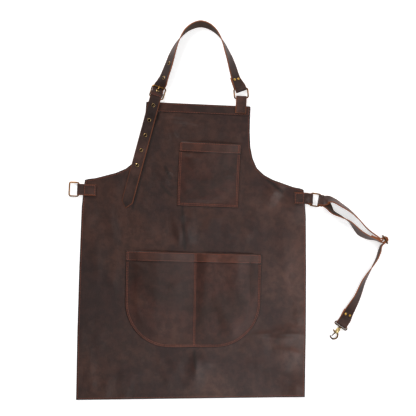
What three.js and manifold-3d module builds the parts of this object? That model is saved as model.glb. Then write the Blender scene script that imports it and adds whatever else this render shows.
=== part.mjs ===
// A leather work apron lying flat, front up. Millimetres, +Z up, +Y towards the neck loop.
// The origin is on the surface it lies on, under the middle of the apron by the hip pocket's mouth.
import * as THREE from 'three';
import { mergeVertices } from 'three/addons/utils/BufferGeometryUtils.js';
import Module from 'manifold-3d';

const wasm = await Module();
wasm.setup();

// Leather and clearances
const panelLeather = 1.8;
const pocketLeather = 1.5;
const bandLeather = 1.5;
const tabLeather = 2;
const strapLeather = 2.8;
const strapWidth = 30;
const gap = 0.35;

// The cut front
const bibTopWidth = 276;
const bibLength = 212;
const waistWidth = 579;
const skirtLength = 568;
const hemWidth = 606;
const waistAboveOrigin = 190;

// Bands and pockets
const bibBandHeight = 25;
const chestPocketWidth = 164;
const chestPocketDepth = 170;
const chestPocketTop = 111;
const chestPocketOffset = 37;
const chestPocketSwell = 11;
const hipPocketWidth = 360;
const hipPocketDepth = 252;
const hipPocketTop = -181;
const hipPocketOffset = 2;
const hipPocketCorner = 120;
const hipPocketDivider = 5;
const hipPocketSwell = 12;
const pocketBandHeight = 26;
const seamWidth = 6;

// Rings
const ringWindow = 32.5;
const ringLength = 29;
const ringWire = 4;
const ringCorner = 4.5;

// Buckle, keeper and eyelets
const buckleInset = 21;
const buckleLean = 18;
const buckleShift = 0.9;
const buckleReach = 12;
const buckleLift = 1.4;
const buckleLength = 34;
const buckleWire = 3.6;
const buckleWindow = 33;
const buckleRise = 2;
const buckleTabWidth = 26;
const buckleTabSewn = 22;
const prongWire = 2.4;
const keeperHeight = 11;
const keeperLeather = 1.5;
const keeperPlace = 10.5;
const eyeletFlange = 10;
const eyeletHole = 5;
const eyeletWall = 0.5;
const eyeletFlangeHeight = 0.8;
const eyeletPitch = 41.3;
const firstTailEyelet = 8;
const eyeletsAboveBib = 3;
const eyeletsOnTail = 5;

// Neck strap
const neckLoopHeight = 172;
const tailLength = 291;
const tailLean = 15.1;
const tailPoint = 18;
const neckFoldLength = 40;
const neckEndLean = 13;

// Tabs
const neckTabInset = 25;
const neckTabReach = 21;
const neckTabSewn = 19;
const neckRingLean = 4;
const waistTabWidth = 30;
const neckTabWidth = 28;
const waistTabSewn = 33;
const leftTabReach = 13;
const leftTabDrop = 27;
const rightTabReach = 16;
const rightTabDrop = 25;
const rightTabSewn = 27;
const rightRingTip = 26;
const rightRingLean = 7;

// Waist strap, its slider and the hook
const waistStrapReach = 172;
const waistStrapDrop = 103;
const hookEndReach = 114;
const hookEndDrop = 225;
const sliderBar = 3.5;
const sliderBarSpacing = 11.5;
const sliderTurn = -58.5;
const sliderFoldLength = 43;
const hookFoldLength = 44;
const rivetHead = 7;
const rivetHeadHeight = 1.8;
const rivetShank = 3;
const rivetSpacing = 13;
const rivetsFromFold = 31;
const hookTurn = 34;
const eyeWindow = 32.5;
const eyeWire = 3.5;
const swivelPin = 4;
const swivelHead = 6.4;
const hookBarrel = 10.4;
const hookWire = 4;
const hookLength = 47;
const hookHalfWidth = 8.8;
const leverThickness = 3;

const parts = new THREE.Group();
const deg = THREE.MathUtils.degToRad;
const UP = new THREE.Vector3(0, 0, 1);

const finishes = {
  panel: { color: 0x47392f, roughness: 0.55, metalness: 0 },
  pocket: { color: 0x4b3733, roughness: 0.5, metalness: 0 },
  band: { color: 0x563f3a, roughness: 0.5, metalness: 0 },
  strap: { color: 0x4a3832, roughness: 0.5, metalness: 0 },
  brass: { color: 0x7a5632, roughness: 0.35, metalness: 1 },
  bright: { color: 0xc9a055, roughness: 0.3, metalness: 1 },
};

function bare(geometry) {
  geometry.deleteAttribute('normal');
  geometry.deleteAttribute('uv');
  return mergeVertices(geometry, 1e-4);
}

function solidOf(geometry) {
  const merged = bare(geometry.clone());
  return new wasm.Manifold(new wasm.Mesh({
    numProp: 3,
    vertProperties: new Float32Array(merged.attributes.position.array),
    triVerts: new Uint32Array(merged.index.array),
  }));
}

function geometryOf(solid) {
  const mesh = solid.getMesh();
  const geometry = new THREE.BufferGeometry();
  geometry.setAttribute('position', new THREE.BufferAttribute(new Float32Array(mesh.vertProperties), 3));
  geometry.setIndex(new THREE.BufferAttribute(new Uint32Array(mesh.triVerts), 1));
  return geometry;
}

function piece(name, geometry, finish) {
  const mesh = new THREE.Mesh(geometry, new THREE.MeshStandardMaterial(finishes[finish]));
  mesh.name = name;
  parts.add(mesh);
  return mesh;
}

// A block whose points go where the map sends their shares (across, along, through)
function warpedBlock(across, along, through, map) {
  const geometry = bare(new THREE.BoxGeometry(1, 1, 1, across, along, through));
  const position = geometry.attributes.position;
  for (let i = 0; i < position.count; i += 1) {
    const point = map(position.getX(i) + 0.5, position.getY(i) + 0.5, position.getZ(i) + 0.5);
    position.setXYZ(i, point.x, point.y, point.z);
  }
  return geometry;
}

function lookUp(table, from, to, at) {
  const last = table.length - 1;
  let row = 0;
  while (row < last - 1 && table[row + 1][from] < at) {
    row += 1;
  }
  const low = table[row];
  const high = table[row + 1];
  const share = THREE.MathUtils.clamp((at - low[from]) / (high[from] - low[from]), 0, 1);
  return THREE.MathUtils.lerp(low[to], high[to], share);
}

// How the apron was laid down: its middle line leans and its rows slope, from the hem to the bib's top
const laidRows = [
  { up: -skirtLength, shift: -6.9, slope: 0.75 },
  { up: 0, shift: 3.3, slope: -2.6 },
  { up: bibLength, shift: 14.2, slope: -2.6 },
];

// From the cut pattern (across from its middle line, up from its waist line) to the surface
function lay(across, up) {
  const slope = Math.tan(deg(lookUp(laidRows, 'up', 'slope', up)));
  return new THREE.Vector2(lookUp(laidRows, 'up', 'shift', up) + across, waistAboveOrigin + up + across * slope);
}

// The side of the skirt: 'up' is a share of its length from the hem, 'out' of the hem's extra half width
const skirtSide = [
  { up: 0, out: 1 },
  { up: 0.3, out: 0.98 },
  { up: 0.6, out: 0.82 },
  { up: 0.87, out: 0.55 },
  { up: 0.96, out: 0.2 },
  { up: 1, out: 0 },
];

// The armhole: 'up' is a share of the bib's length from the waist, 'out' of the waist's extra half width
const armhole = [
  { up: 0, out: 1 },
  { up: 0.019, out: 0.82 },
  { up: 0.05, out: 0.68 },
  { up: 0.1, out: 0.454 },
  { up: 0.156, out: 0.296 },
  { up: 0.2375, out: 0.165 },
  { up: 0.3575, out: 0.083 },
  { up: 0.5, out: 0.034 },
  { up: 0.68, out: 0.012 },
  { up: 0.85, out: 0.004 },
  { up: 1, out: 0 },
];

// Places where the leather lifts off the surface: 'across' is a share of half the waist's width,
// 'up' of the skirt's length, 'turn' is in degrees from the apron's length
const lifts = [
  { across: -0.095, up: -0.205, long: 34, wide: 21, turn: -8, height: 3.2 },
  { across: 0.73, up: -0.02, long: 30, wide: 20, turn: 35, height: 3 },
  { across: 0.855, up: -0.7, long: 42, wide: 20, turn: 88, height: 2.6 },
  { across: 1.02, up: -0.975, long: 40, wide: 34, turn: -40, height: 5 },
  { across: 0.03, up: -0.88, long: 36, wide: 22, turn: 4, height: 2.4 },
  { across: 1, up: -0.05, long: 44, wide: 40, turn: 0, height: 6 },
];

const liftFoot = 0.06;
const flatBeside = 22;

// The front lies flat under the pockets that are sewn to it
function besidePocket(across, up, offset, width, top, depth) {
  const dx = Math.max(0, Math.abs(across - offset) - width / 2);
  const dy = Math.max(0, up - top, top - depth - up);
  return THREE.MathUtils.clamp((Math.hypot(dx, dy) - flatBeside) / flatBeside, 0, 1);
}

function lift(across, up) {
  let height = 0;
  const free = Math.min(
    besidePocket(across, up, chestPocketOffset, chestPocketWidth, chestPocketTop, chestPocketDepth),
    besidePocket(across, up, hipPocketOffset, hipPocketWidth, hipPocketTop, hipPocketDepth),
  );
  for (const ridge of lifts) {
    const dx = across - ridge.across * waistWidth / 2;
    const dy = up - ridge.up * skirtLength;
    const turn = deg(ridge.turn);
    const along = (dy * Math.cos(turn) + dx * Math.sin(turn)) / ridge.long;
    const beside = (dx * Math.cos(turn) - dy * Math.sin(turn)) / ridge.wide;
    const share = Math.exp(-along * along - beside * beside);
    height = Math.max(height, ridge.height * (share - liftFoot) / (1 - liftFoot));
  }
  return height * free;
}

function panelTop(across, up) {
  return panelLeather + lift(across, up);
}

function halfWidth(up) {
  if (up < 0) {
    return waistWidth / 2 + (hemWidth - waistWidth) / 2 * lookUp(skirtSide, 'up', 'out', 1 + up / skirtLength);
  }
  return bibTopWidth / 2 + (waistWidth - bibTopWidth) / 2 * lookUp(armhole, 'up', 'out', up / bibLength);
}

// Sheets that are sewn to the front are made in the cut pattern and then laid with it
function laidSheet(columns, rows, thickness, place) {
  return warpedBlock(columns, rows, 1, (u, v, w) => {
    const { across, up, base } = place(u, v);
    const flat = lay(across, up);
    return new THREE.Vector3(flat.x, flat.y, base + w * thickness);
  });
}

const skirtRows = 17;
const bibRows = 14;
const panelColumns = 20;

function panelRow(share) {
  const row = share * (skirtRows + bibRows);
  if (row <= skirtRows) {
    return -skirtLength * (1 - row / skirtRows);
  }
  const stretch = (row - skirtRows) / bibRows;
  return bibLength * (0.45 * stretch * stretch + 0.55 * stretch ** 3);
}

function apronPanel() {
  return laidSheet(panelColumns, skirtRows + bibRows, panelLeather, (u, v) => {
    const up = panelRow(v);
    const across = (2 * u - 1) * halfWidth(up);
    return { across, up, base: lift(across, up) };
  });
}

const bandBase = panelLeather + gap;
const bandTop = bandBase + bandLeather;

function bibBand() {
  return laidSheet(6, 1, bandLeather, (u, v) => {
    const up = bibLength - bibBandHeight * (1 - v);
    return { across: (2 * u - 1) * halfWidth(up), up, base: bandBase };
  });
}

// The mouth's height over the width of a pocket: 'at' and 'swell' are shares of its width and swell
const chestFolds = [
  { at: 0, swell: 0 },
  { at: 0.04, swell: 0 },
  { at: 0.2, swell: 0.72 },
  { at: 0.5, swell: 1 },
  { at: 0.8, swell: 0.8 },
  { at: 0.96, swell: 0 },
  { at: 1, swell: 0 },
];

const leftHipFolds = [
  { at: 0, swell: 0 },
  { at: 0.04, swell: 0 },
  { at: 0.2, swell: 0.7 },
  { at: 0.45, swell: 1 },
  { at: 0.75, swell: 0.7 },
  { at: 0.96, swell: 0 },
  { at: 1, swell: 0 },
];

const rightHipFolds = [
  { at: 0, swell: 0 },
  { at: 0.03, swell: 0 },
  { at: 0.12, swell: 0.6 },
  { at: 0.36, swell: 0.62 },
  { at: 0.66, swell: 1 },
  { at: 0.85, swell: 0.55 },
  { at: 0.96, swell: 0 },
  { at: 1, swell: 0 },
];

// How the swell dies away below the mouth, in shares of the pocket's depth
const pocketRise = [
  { up: 0, swell: 0 },
  { up: 0.05, swell: 0 },
  { up: 0.35, swell: 0.28 },
  { up: 0.7, swell: 0.72 },
  { up: 0.9, swell: 1 },
  { up: 1, swell: 1 },
];

function chestSwell(beside, height) {
  const folds = lookUp(chestFolds, 'at', 'swell', beside / chestPocketWidth + 0.5);
  return chestPocketSwell * folds * lookUp(pocketRise, 'up', 'swell', height / chestPocketDepth);
}

function hipSwell(beside, height) {
  const half = hipPocketWidth / 2;
  const left = beside < hipPocketDivider;
  const share = left ? (beside + half) / (half + hipPocketDivider)
    : (beside - hipPocketDivider) / (half - hipPocketDivider);
  const folds = lookUp(left ? leftHipFolds : rightHipFolds, 'at', 'swell', share);
  const corner = Math.hypot(Math.max(0, Math.abs(beside) - (half - hipPocketCorner)),
    Math.max(0, hipPocketCorner - height));
  const edge = THREE.MathUtils.clamp((hipPocketCorner - corner - seamWidth) / seamWidth / 4, 0, 1);
  return hipPocketSwell * folds * edge * lookUp(pocketRise, 'up', 'swell', height / hipPocketDepth);
}

function hipHalfWidth(height) {
  const short = Math.max(0, hipPocketCorner - height);
  const round = Math.sqrt(hipPocketCorner ** 2 - short ** 2);
  return hipPocketWidth / 2 - hipPocketCorner + round;
}

// The columns of a pocket and its band stand at the same places, so that the band follows the pocket
const chestColumns = 10;
const hipColumns = 20;

function hipColumn(share) {
  const middle = 0.5;
  const half = hipPocketWidth / 2;
  return share < middle ? -half + share / middle * (half + hipPocketDivider)
    : hipPocketDivider + (share - middle) / middle * (half - hipPocketDivider);
}

function chestPocket() {
  return laidSheet(chestColumns, 6, pocketLeather, (u, v) => {
    const beside = (u - 0.5) * chestPocketWidth;
    const height = v * chestPocketDepth;
    return {
      across: chestPocketOffset + beside,
      up: chestPocketTop - chestPocketDepth + height,
      base: panelLeather + gap + chestSwell(beside, height),
    };
  });
}

function chestPocketBand() {
  return laidSheet(chestColumns, 1, bandLeather, (u, v) => {
    const beside = (u - 0.5) * chestPocketWidth;
    const height = chestPocketDepth - pocketBandHeight * (1 - v);
    return {
      across: chestPocketOffset + beside,
      up: chestPocketTop - chestPocketDepth + height,
      base: panelLeather + gap + chestSwell(beside, chestPocketDepth) + pocketLeather + gap,
    };
  });
}

function hipPocket() {
  return laidSheet(hipColumns, 9, pocketLeather, (u, v) => {
    const height = v * hipPocketDepth;
    const beside = hipColumn(u) * hipHalfWidth(height) / (hipPocketWidth / 2);
    return {
      across: hipPocketOffset + beside,
      up: hipPocketTop - hipPocketDepth + height,
      base: panelLeather + gap + hipSwell(beside, height),
    };
  });
}

function hipPocketBand() {
  return laidSheet(hipColumns, 1, bandLeather, (u, v) => {
    const height = hipPocketDepth - pocketBandHeight * (1 - v);
    const beside = hipColumn(u);
    return {
      across: hipPocketOffset + beside,
      up: hipPocketTop - hipPocketDepth + height,
      base: panelLeather + gap + hipSwell(beside, hipPocketDepth) + pocketLeather + gap,
    };
  });
}

// Straps and tabs are ribbons. Each place on one has its middle, the way across it and the grain side's way
function strapPlace(middle, side, grain) {
  return { middle, side, grain };
}

// The slope of a run at a station. Heights neither overshoot nor dip between stations
function slopeAt(spans, ways, i) {
  if (i === 0 || i === ways.length) {
    return ways[Math.min(i, ways.length - 1)].clone();
  }
  const before = ways[i - 1];
  const after = ways[i];
  const slope = before.clone().multiplyScalar(spans[i]).addScaledVector(after, spans[i - 1])
    .divideScalar(spans[i - 1] + spans[i]);
  slope.z = before.z * after.z > 0 ? 2 * before.z * after.z / (before.z + after.z) : 0;
  return slope;
}

function between(points, slopes, spans, i, t) {
  const gone = t * t * (3 - 2 * t);
  return points[i].clone().lerp(points[i + 1], gone)
    .addScaledVector(slopes[i], spans[i] * t * (1 - t) * (1 - t))
    .addScaledVector(slopes[i + 1], -spans[i] * t * t * (1 - t));
}

// A smooth run through stations. 'roll' lifts the strap's raised edge, on the right hand as it runs
// (hand 1) or on the left (hand -1). Its lower edge is 'over' the surface unless 'height' is given.
function run(stations, hand, width, leather, steps) {
  const half = (roll) => width / 2 * Math.abs(Math.sin(roll)) + leather / 2 * Math.abs(Math.cos(roll));
  const rolls = stations.map((station) => deg(station.roll));
  const points = stations.map((station, i) => new THREE.Vector3(station.x, station.y,
    station.height === undefined ? station.over ?? gap : station.height - half(rolls[i])));
  const spans = points.slice(1).map((point, i) => point.distanceTo(points[i]));
  const ways = spans.map((span, i) => points[i + 1].clone().sub(points[i]).divideScalar(span));
  const slopes = points.map((point, i) => slopeAt(spans, ways, i));
  const middles = [];
  const turns = [];
  for (let i = 0; i <= spans.length * steps; i += 1) {
    const from = Math.min(Math.floor(i / steps), spans.length - 1);
    const share = i / steps - from;
    const middle = between(points, slopes, spans, from, share);
    const roll = THREE.MathUtils.lerp(rolls[from], rolls[from + 1], share);
    middles.push(middle.setZ(middle.z + half(roll)));
    turns.push(roll);
  }
  return middles.map((middle, i) => {
    const ahead = middles[Math.min(i + 1, middles.length - 1)];
    const onward = ahead.clone().sub(middles[Math.max(i - 1, 0)]);
    if (i === 0 || i === middles.length - 1) {
      onward.copy(slopes[i === 0 ? 0 : slopes.length - 1]);
    }
    onward.normalize();
    const flat = new THREE.Vector3(onward.y, -onward.x, 0).normalize().multiplyScalar(hand);
    const side = flat.multiplyScalar(Math.cos(turns[i])).addScaledVector(UP, Math.sin(turns[i]));
    side.addScaledVector(onward, -side.dot(onward)).normalize();
    return strapPlace(middle, side, new THREE.Vector3().crossVectors(side, onward).normalize());
  });
}

// Half a turn round a bar that lies on the flesh side of a place
function halfTurn(place, outward, radius, steps) {
  const places = [];
  for (let i = 1; i < steps; i += 1) {
    const angle = Math.PI * i / steps;
    const grain = place.grain.clone().multiplyScalar(Math.cos(angle)).addScaledVector(outward, Math.sin(angle));
    const middle = place.middle.clone().addScaledVector(place.grain, -radius).addScaledVector(grain, radius);
    places.push(strapPlace(middle, place.side.clone(), grain));
  }
  return places;
}

function outwardOf(places) {
  return places[0].middle.clone().sub(places[1].middle).projectOnPlane(places[0].grain).normalize();
}

// A strap folded back on itself round a bar at its first place: the turn, then the layer behind
function foldBack(places, leather, bar, length, straight, closing) {
  const radius = bar / 2 + gap + leather / 2;
  const folded = halfTurn(places[0], outwardOf(places), radius, 6);
  const closed = leather + gap;
  let travelled = 0;
  for (let i = 0; i < places.length; i += 1) {
    travelled += i === 0 ? 0 : places[i].middle.distanceTo(places[i - 1].middle);
    if (travelled > length) {
      break;
    }
    const share = THREE.MathUtils.smoothstep(travelled, straight, straight + closing);
    const offset = THREE.MathUtils.lerp(2 * radius, closed, share);
    const middle = places[i].middle.clone().addScaledVector(places[i].grain, -offset);
    folded.push(strapPlace(middle, places[i].side.clone(), places[i].grain.clone().negate()));
  }
  return folded;
}

function barMiddle(place, leather, bar) {
  return place.middle.clone().addScaledVector(place.grain, -(bar / 2 + gap + leather / 2));
}

function ribbon(places, width, leather) {
  const count = places.length - 1;
  return warpedBlock(count, 1, 1, (u, v, w) => {
    const place = places[Math.round(u * count)];
    return place.middle.clone()
      .addScaledVector(place.side, (0.5 - v) * width)
      .addScaledVector(place.grain, (w - 0.5) * leather);
  });
}

// A frame of axes: x runs the way given, z is the face's way
function axes(origin, x, z) {
  const across = new THREE.Vector3().crossVectors(z, x).normalize();
  const face = new THREE.Vector3().crossVectors(x, across).normalize();
  return new THREE.Matrix4().makeBasis(x.clone().normalize(), across, face).setPosition(origin);
}

// A closed wire round a flat outline: a torus whose turn is sent along the outline's points
function wireRing(points, wire) {
  const count = points.length;
  const middle = 10 * wire;
  const geometry = bare(new THREE.TorusGeometry(middle, wire / 2, 8, count));
  const position = geometry.attributes.position;
  for (let i = 0; i < position.count; i += 1) {
    const turn = Math.atan2(position.getY(i), position.getX(i));
    const index = (Math.round(turn / (2 * Math.PI) * count) + count) % count;
    const before = points[(index + count - 1) % count];
    const after = points[(index + 1) % count];
    const here = points[index];
    const onward = after.clone().sub(here).normalize().add(here.clone().sub(before).normalize()).normalize();
    const out = Math.hypot(position.getX(i), position.getY(i)) - middle;
    position.setXYZ(i, here.x + onward.y * out, here.y - onward.x * out, position.getZ(i));
  }
  return geometry;
}

// A ring with straight bars and round corners: x is its length, y runs along its bars
function ringGeometry(length, window, wire, corner) {
  const halfLength = (length - wire) / 2;
  const halfBar = (window + wire) / 2;
  const corners = [
    { x: 1, y: 1, from: 0 },
    { x: -1, y: 1, from: 90 },
    { x: -1, y: -1, from: 180 },
    { x: 1, y: -1, from: 270 },
  ];
  const points = [];
  for (const { x, y, from } of corners) {
    for (let step = 0; step <= 3; step += 1) {
      const angle = deg(from + 90 * step / 3);
      points.push(new THREE.Vector2(x * (halfLength - corner) + corner * Math.cos(angle),
        y * (halfBar - corner) + corner * Math.sin(angle)));
    }
  }
  return wireRing(points, wire);
}

// The way up the apron at a place, as it was laid
function layWay(across, up) {
  return lay(across, up).sub(lay(across, up - 1)).normalize();
}

function heading(turn) {
  return new THREE.Vector2(Math.sin(deg(turn)), Math.cos(deg(turn)));
}

function solidPoint(flat, height) {
  return new THREE.Vector3(flat.x, flat.y, height);
}

// A tab's upper layer, from the bar inwards over the front; 'slack' is play for a bar that isn't square to it
function tabPlaces({ bar, inward, height, base, sewn, reach, wire, roll = 0, slack = 0 }) {
  const upper = base + 1.5 * tabLeather + gap;
  const barTop = height + wire / 2 + gap + tabLeather / 2;
  const rows = [
    { at: -slack, height: barTop, roll },
    { at: 0.25 * reach, height: barTop, roll },
    { at: 0.62 * reach, height: upper + 0.4 * (barTop - upper), roll: roll * 0.4 },
    { at: 0.92 * reach, height: upper, roll: 0 },
    { at: reach + 0.5 * sewn, height: upper, roll: 0 },
    { at: reach + sewn, height: upper, roll: 0 },
  ];
  const stations = rows.map((row) => {
    const spot = bar.clone().addScaledVector(inward, row.at);
    return { x: spot.x, y: spot.y, height: row.height, roll: row.roll };
  });
  return run(stations, 1, waistTabWidth, tabLeather, 3);
}

function foldedTab(places, width, wire, reach, slack = 0) {
  const layers = foldBack(places, tabLeather, wire, Infinity, 0.25 * reach + slack, 0.6 * reach - slack);
  return ribbon([...layers.reverse(), ...places], width, tabLeather);
}

const ringSpan = ringLength - ringWire;
const restingBar = ringWire / 2 + gap + tabLeather + gap;

function ringPlaced(barPoint, outward, face) {
  const matrix = axes(barPoint.clone().addScaledVector(outward, ringSpan / 2), outward, face);
  return ringGeometry(ringLength, ringWindow, ringWire, ringCorner).applyMatrix4(matrix);
}

// Left waist ring: its far side rests on the surface, and it turns about its bar in the tab
const leftInward = new THREE.Vector2(Math.cos(deg(2.6)), -Math.sin(deg(2.6)));
const leftBar = lay(-halfWidth(-leftTabDrop), -leftTabDrop).addScaledVector(leftInward, -leftTabReach);
const leftTabPlaces = tabPlaces({
  bar: leftBar, inward: leftInward, height: restingBar, base: panelLeather + gap,
  sewn: waistTabSewn, reach: leftTabReach, wire: ringWire,
});
const leftBarPoint = solidPoint(leftBar, restingBar);
const leftRingDip = Math.asin((restingBar - ringWire / 2 - gap) / ringSpan);
const leftOutward = solidPoint(leftInward, 0).multiplyScalar(-Math.cos(leftRingDip))
  .addScaledVector(UP, -Math.sin(leftRingDip));
const leftFace = new THREE.Vector3().crossVectors(leftOutward, new THREE.Vector3(leftInward.y, -leftInward.x, 0));

// Right waist ring: tipped, with its lower end on the surface
const rightBase = panelTop(halfWidth(-rightTabDrop) * 0.95, -rightTabDrop) + 2 * gap;
const rightInward = new THREE.Vector2(-Math.cos(deg(2.6)), Math.sin(deg(2.6)));
const rightBar = lay(halfWidth(-rightTabDrop), -rightTabDrop).addScaledVector(rightInward, -rightTabReach);
const rightHeight = (ringWindow + ringWire) / 2 * Math.sin(deg(rightRingTip)) + ringWire / 2 + gap;
const rightTabSlack = waistTabWidth / 2 * Math.sin(deg(rightRingLean)) + gap;
const rightTabPlaces = tabPlaces({
  bar: rightBar, inward: rightInward, height: rightHeight, base: rightBase,
  sewn: rightTabSewn, reach: rightTabReach, wire: ringWire, roll: -rightRingTip, slack: rightTabSlack,
});
const rightBarPoint = barMiddle(rightTabPlaces[0], tabLeather, ringWire)
  .addScaledVector(solidPoint(rightInward, 0), rightTabSlack);
const rightFace = rightTabPlaces[0].grain.clone();
const rightOutward = solidPoint(rightInward, 0).negate().applyAxisAngle(rightFace, -deg(rightRingLean));
const rightFarBar = rightBarPoint.clone().addScaledVector(rightOutward, ringSpan);

// Neck ring at the bib's right corner, level between its tab and the strap's end
const neckAcross = bibTopWidth / 2 - neckTabInset;
const bibWay = layWay(neckAcross, bibLength);
const neckBar = lay(neckAcross, bibLength).addScaledVector(bibWay, neckTabReach);
const neckRingHeight = ringWire / 2 + strapLeather + 3 * gap;
const neckTabSlack = neckTabWidth / 2 * Math.sin(deg(neckRingLean + 3));
const neckTabPlaces = tabPlaces({
  bar: neckBar, inward: bibWay.clone().negate(), height: neckRingHeight, base: bandTop + gap,
  sewn: neckTabSewn, reach: neckTabReach, wire: ringWire, slack: neckTabSlack,
});
const neckRingWay = heading(-neckRingLean);
const neckTopBar = neckBar.clone().addScaledVector(neckRingWay, ringSpan);

// Buckle: its heel bar is in the tab's fold and its top bar lies over the strap
const buckleAcross = -bibTopWidth / 2 + buckleInset;
const buckleEdge = lay(buckleAcross, bibLength);
const buckleWay = heading(buckleLean);
const buckleSpan = buckleLength - buckleWire;
const heelHeight = buckleLift + buckleWire / 2 + gap + tabLeather;
const topBarHeight = heelHeight + buckleRise;
const heel = buckleEdge.clone().addScaledVector(buckleWay, buckleReach);
const topBar = heel.clone().addScaledVector(buckleWay, buckleSpan);
const buckleTabPlaces = tabPlaces({
  bar: heel, inward: buckleWay.clone().negate(), height: heelHeight, base: bandTop + gap,
  sewn: buckleTabSewn, reach: buckleReach, wire: buckleWire,
});
const buckleSide = new THREE.Vector3(buckleWay.y, -buckleWay.x, 0);
const buckleRun = solidPoint(topBar, topBarHeight).sub(solidPoint(heel, heelHeight)).normalize();
const buckleFace = new THREE.Vector3().crossVectors(buckleSide, buckleRun);

function buckleFrame() {
  const middle = solidPoint(heel, heelHeight).add(solidPoint(topBar, topBarHeight)).multiplyScalar(0.5)
    .addScaledVector(buckleSide, buckleShift);
  return ringGeometry(buckleLength, buckleWindow, buckleWire, ringCorner)
    .applyMatrix4(axes(middle, buckleRun, buckleFace));
}

// Heights of the strap's middle as it comes off the bib, over the heel bar and under the top bar
const strapOnFront = panelLeather + gap + strapLeather / 2;
const strapOnTab = bandTop + gap + 2 * tabLeather + 2 * gap + strapLeather / 2;
const strapOverHeel = heelHeight + buckleWire / 2 + gap + tabLeather + gap + strapLeather / 2;
const strapUnderBar = strapLeather / 2 + 3 * gap;

// The tail, inwards from the bib's edge
const tailRows = [
  { inward: tailLength, height: strapOnFront },
  { inward: 0.8 * tailLength, height: strapOnFront },
  { inward: 0.6 * tailLength, height: strapOnFront },
  { inward: 0.4 * tailLength, height: strapOnFront },
  { inward: buckleTabSewn + 54, height: strapOnFront },
  { inward: buckleTabSewn + 34, height: 0.85 * strapOnFront + 0.15 * strapOnTab },
  { inward: buckleTabSewn + 18, height: 0.4 * strapOnFront + 0.6 * strapOnTab },
  { inward: buckleTabSewn + 5, height: strapOnTab },
  { inward: 0.4 * buckleTabSewn, height: strapOnTab },
];

// The strap through the buckle, outwards from the bib's edge along the buckle
const buckleRows = [
  { outward: 0, height: strapOverHeel },
  { outward: buckleReach, height: strapOverHeel },
  { outward: buckleReach + 0.53 * buckleSpan, height: strapOverHeel },
  { outward: buckleReach + buckleSpan, height: strapUnderBar },
  { outward: buckleReach + buckleSpan + 9, height: strapUnderBar },
];

// The loop, in shares of the way from the buckle's top bar to the ring and of the loop's height
const neckLoopRows = [
  { across: 0.069, up: 0.176, roll: 35 },
  { across: 0.112, up: 0.315, roll: 45 },
  { across: 0.153, up: 0.47, roll: 57 },
  { across: 0.19, up: 0.594, roll: 70 },
  { across: 0.224, up: 0.687, roll: 80 },
  { across: 0.273, up: 0.788, roll: 92 },
  { across: 0.329, up: 0.881, roll: 105 },
  { across: 0.409, up: 0.955, roll: 118 },
  { across: 0.508, up: 0.999, roll: 127 },
  { across: 0.62, up: 0.955, roll: 118 },
  { across: 0.7, up: 0.873, roll: 104 },
  { across: 0.749, up: 0.789, roll: 92 },
  { across: 0.789, up: 0.698, roll: 82 },
  { across: 0.823, up: 0.592, roll: 72 },
  { across: 0.866, up: 0.455, roll: 60 },
  { across: 0.904, up: 0.302, roll: 49 },
  { across: 0.93, up: 0.19, roll: 34, over: 1.3 * strapLeather },
];

// The strap's end at the ring, back from the bar; the layer that is folded back lies under it
const neckEndRows = [
  { back: 24, over: 1.6 * strapLeather, roll: 16 },
  { back: 10, over: 2.9 * strapLeather, roll: 0 },
];

const neckEndSlack = strapWidth / 2 * Math.sin(deg(neckEndLean - neckRingLean)) + 2 * gap;

function neckStrapPlaces() {
  const tailWay = heading(tailLean);
  const stations = tailRows.map((row) => {
    const spot = buckleEdge.clone().addScaledVector(tailWay, -row.inward);
    return { x: spot.x, y: spot.y, height: row.height, roll: 0 };
  });
  for (const row of buckleRows) {
    const spot = buckleEdge.clone().addScaledVector(buckleWay, row.outward);
    stations.push({ x: spot.x, y: spot.y, height: row.height, roll: 0 });
  }
  for (const row of neckLoopRows) {
    const spot = topBar.clone().lerp(neckTopBar, row.across);
    stations.push({ x: spot.x, y: spot.y + neckLoopHeight * row.up, over: row.over, roll: row.roll });
  }
  const endWay = heading(180 - neckEndLean);
  const end = neckTopBar.clone().addScaledVector(endWay, neckEndSlack);
  for (const row of neckEndRows) {
    const spot = end.clone().addScaledVector(endWay, -row.back);
    stations.push({ x: spot.x, y: spot.y, over: row.over, roll: row.roll });
  }
  stations.push({
    x: end.x, y: end.y, height: neckRingHeight + ringWire / 2 + gap + strapLeather / 2, roll: 0,
  });
  return run(stations, 1, strapWidth, strapLeather, 2);
}

// The place on a run at a distance from its first place
function placeAt(places, distance) {
  let travelled = 0;
  for (let i = 1; i < places.length; i += 1) {
    const step = places[i].middle.distanceTo(places[i - 1].middle);
    if (travelled + step >= distance) {
      const share = (distance - travelled) / step;
      return strapPlace(
        places[i - 1].middle.clone().lerp(places[i].middle, share),
        places[i - 1].side.clone().lerp(places[i].side, share).normalize(),
        places[i - 1].grain.clone().lerp(places[i].grain, share).normalize(),
      );
    }
    travelled += step;
  }
  return places[places.length - 1];
}

// A turned piece or a hole that stands on a strap: its axis is the grain's way there
function turned(profile, segments) {
  const geometry = new THREE.LatheGeometry(profile.map(([radius, height]) => new THREE.Vector2(radius, height)),
    segments);
  return bare(geometry).rotateX(Math.PI / 2);
}

function onPlace(geometry, place, beside = 0) {
  const spot = place.middle.clone().addScaledVector(place.side, beside);
  return geometry.applyMatrix4(axes(spot, place.side, place.grain));
}

function drill(radius, depth) {
  return turned([[0, -depth], [radius, -depth], [radius, depth], [0, depth]], 10);
}

// The holes for a pair of rivets, with flat seats for their heads
function punchRivets(solid, place) {
  let punched = solid;
  for (const beside of [-rivetSpacing / 2, rivetSpacing / 2]) {
    const hole = onPlace(drill(rivetShank / 2 + gap, 3 * strapLeather), place, beside);
    const seat = drill(rivetHead / 2 + gap, strapLeather).translate(0, 0, 1.5 * strapLeather);
    punched = punched.subtract(solidOf(hole)).subtract(solidOf(onPlace(seat, place, beside)));
  }
  return punched;
}

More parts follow.
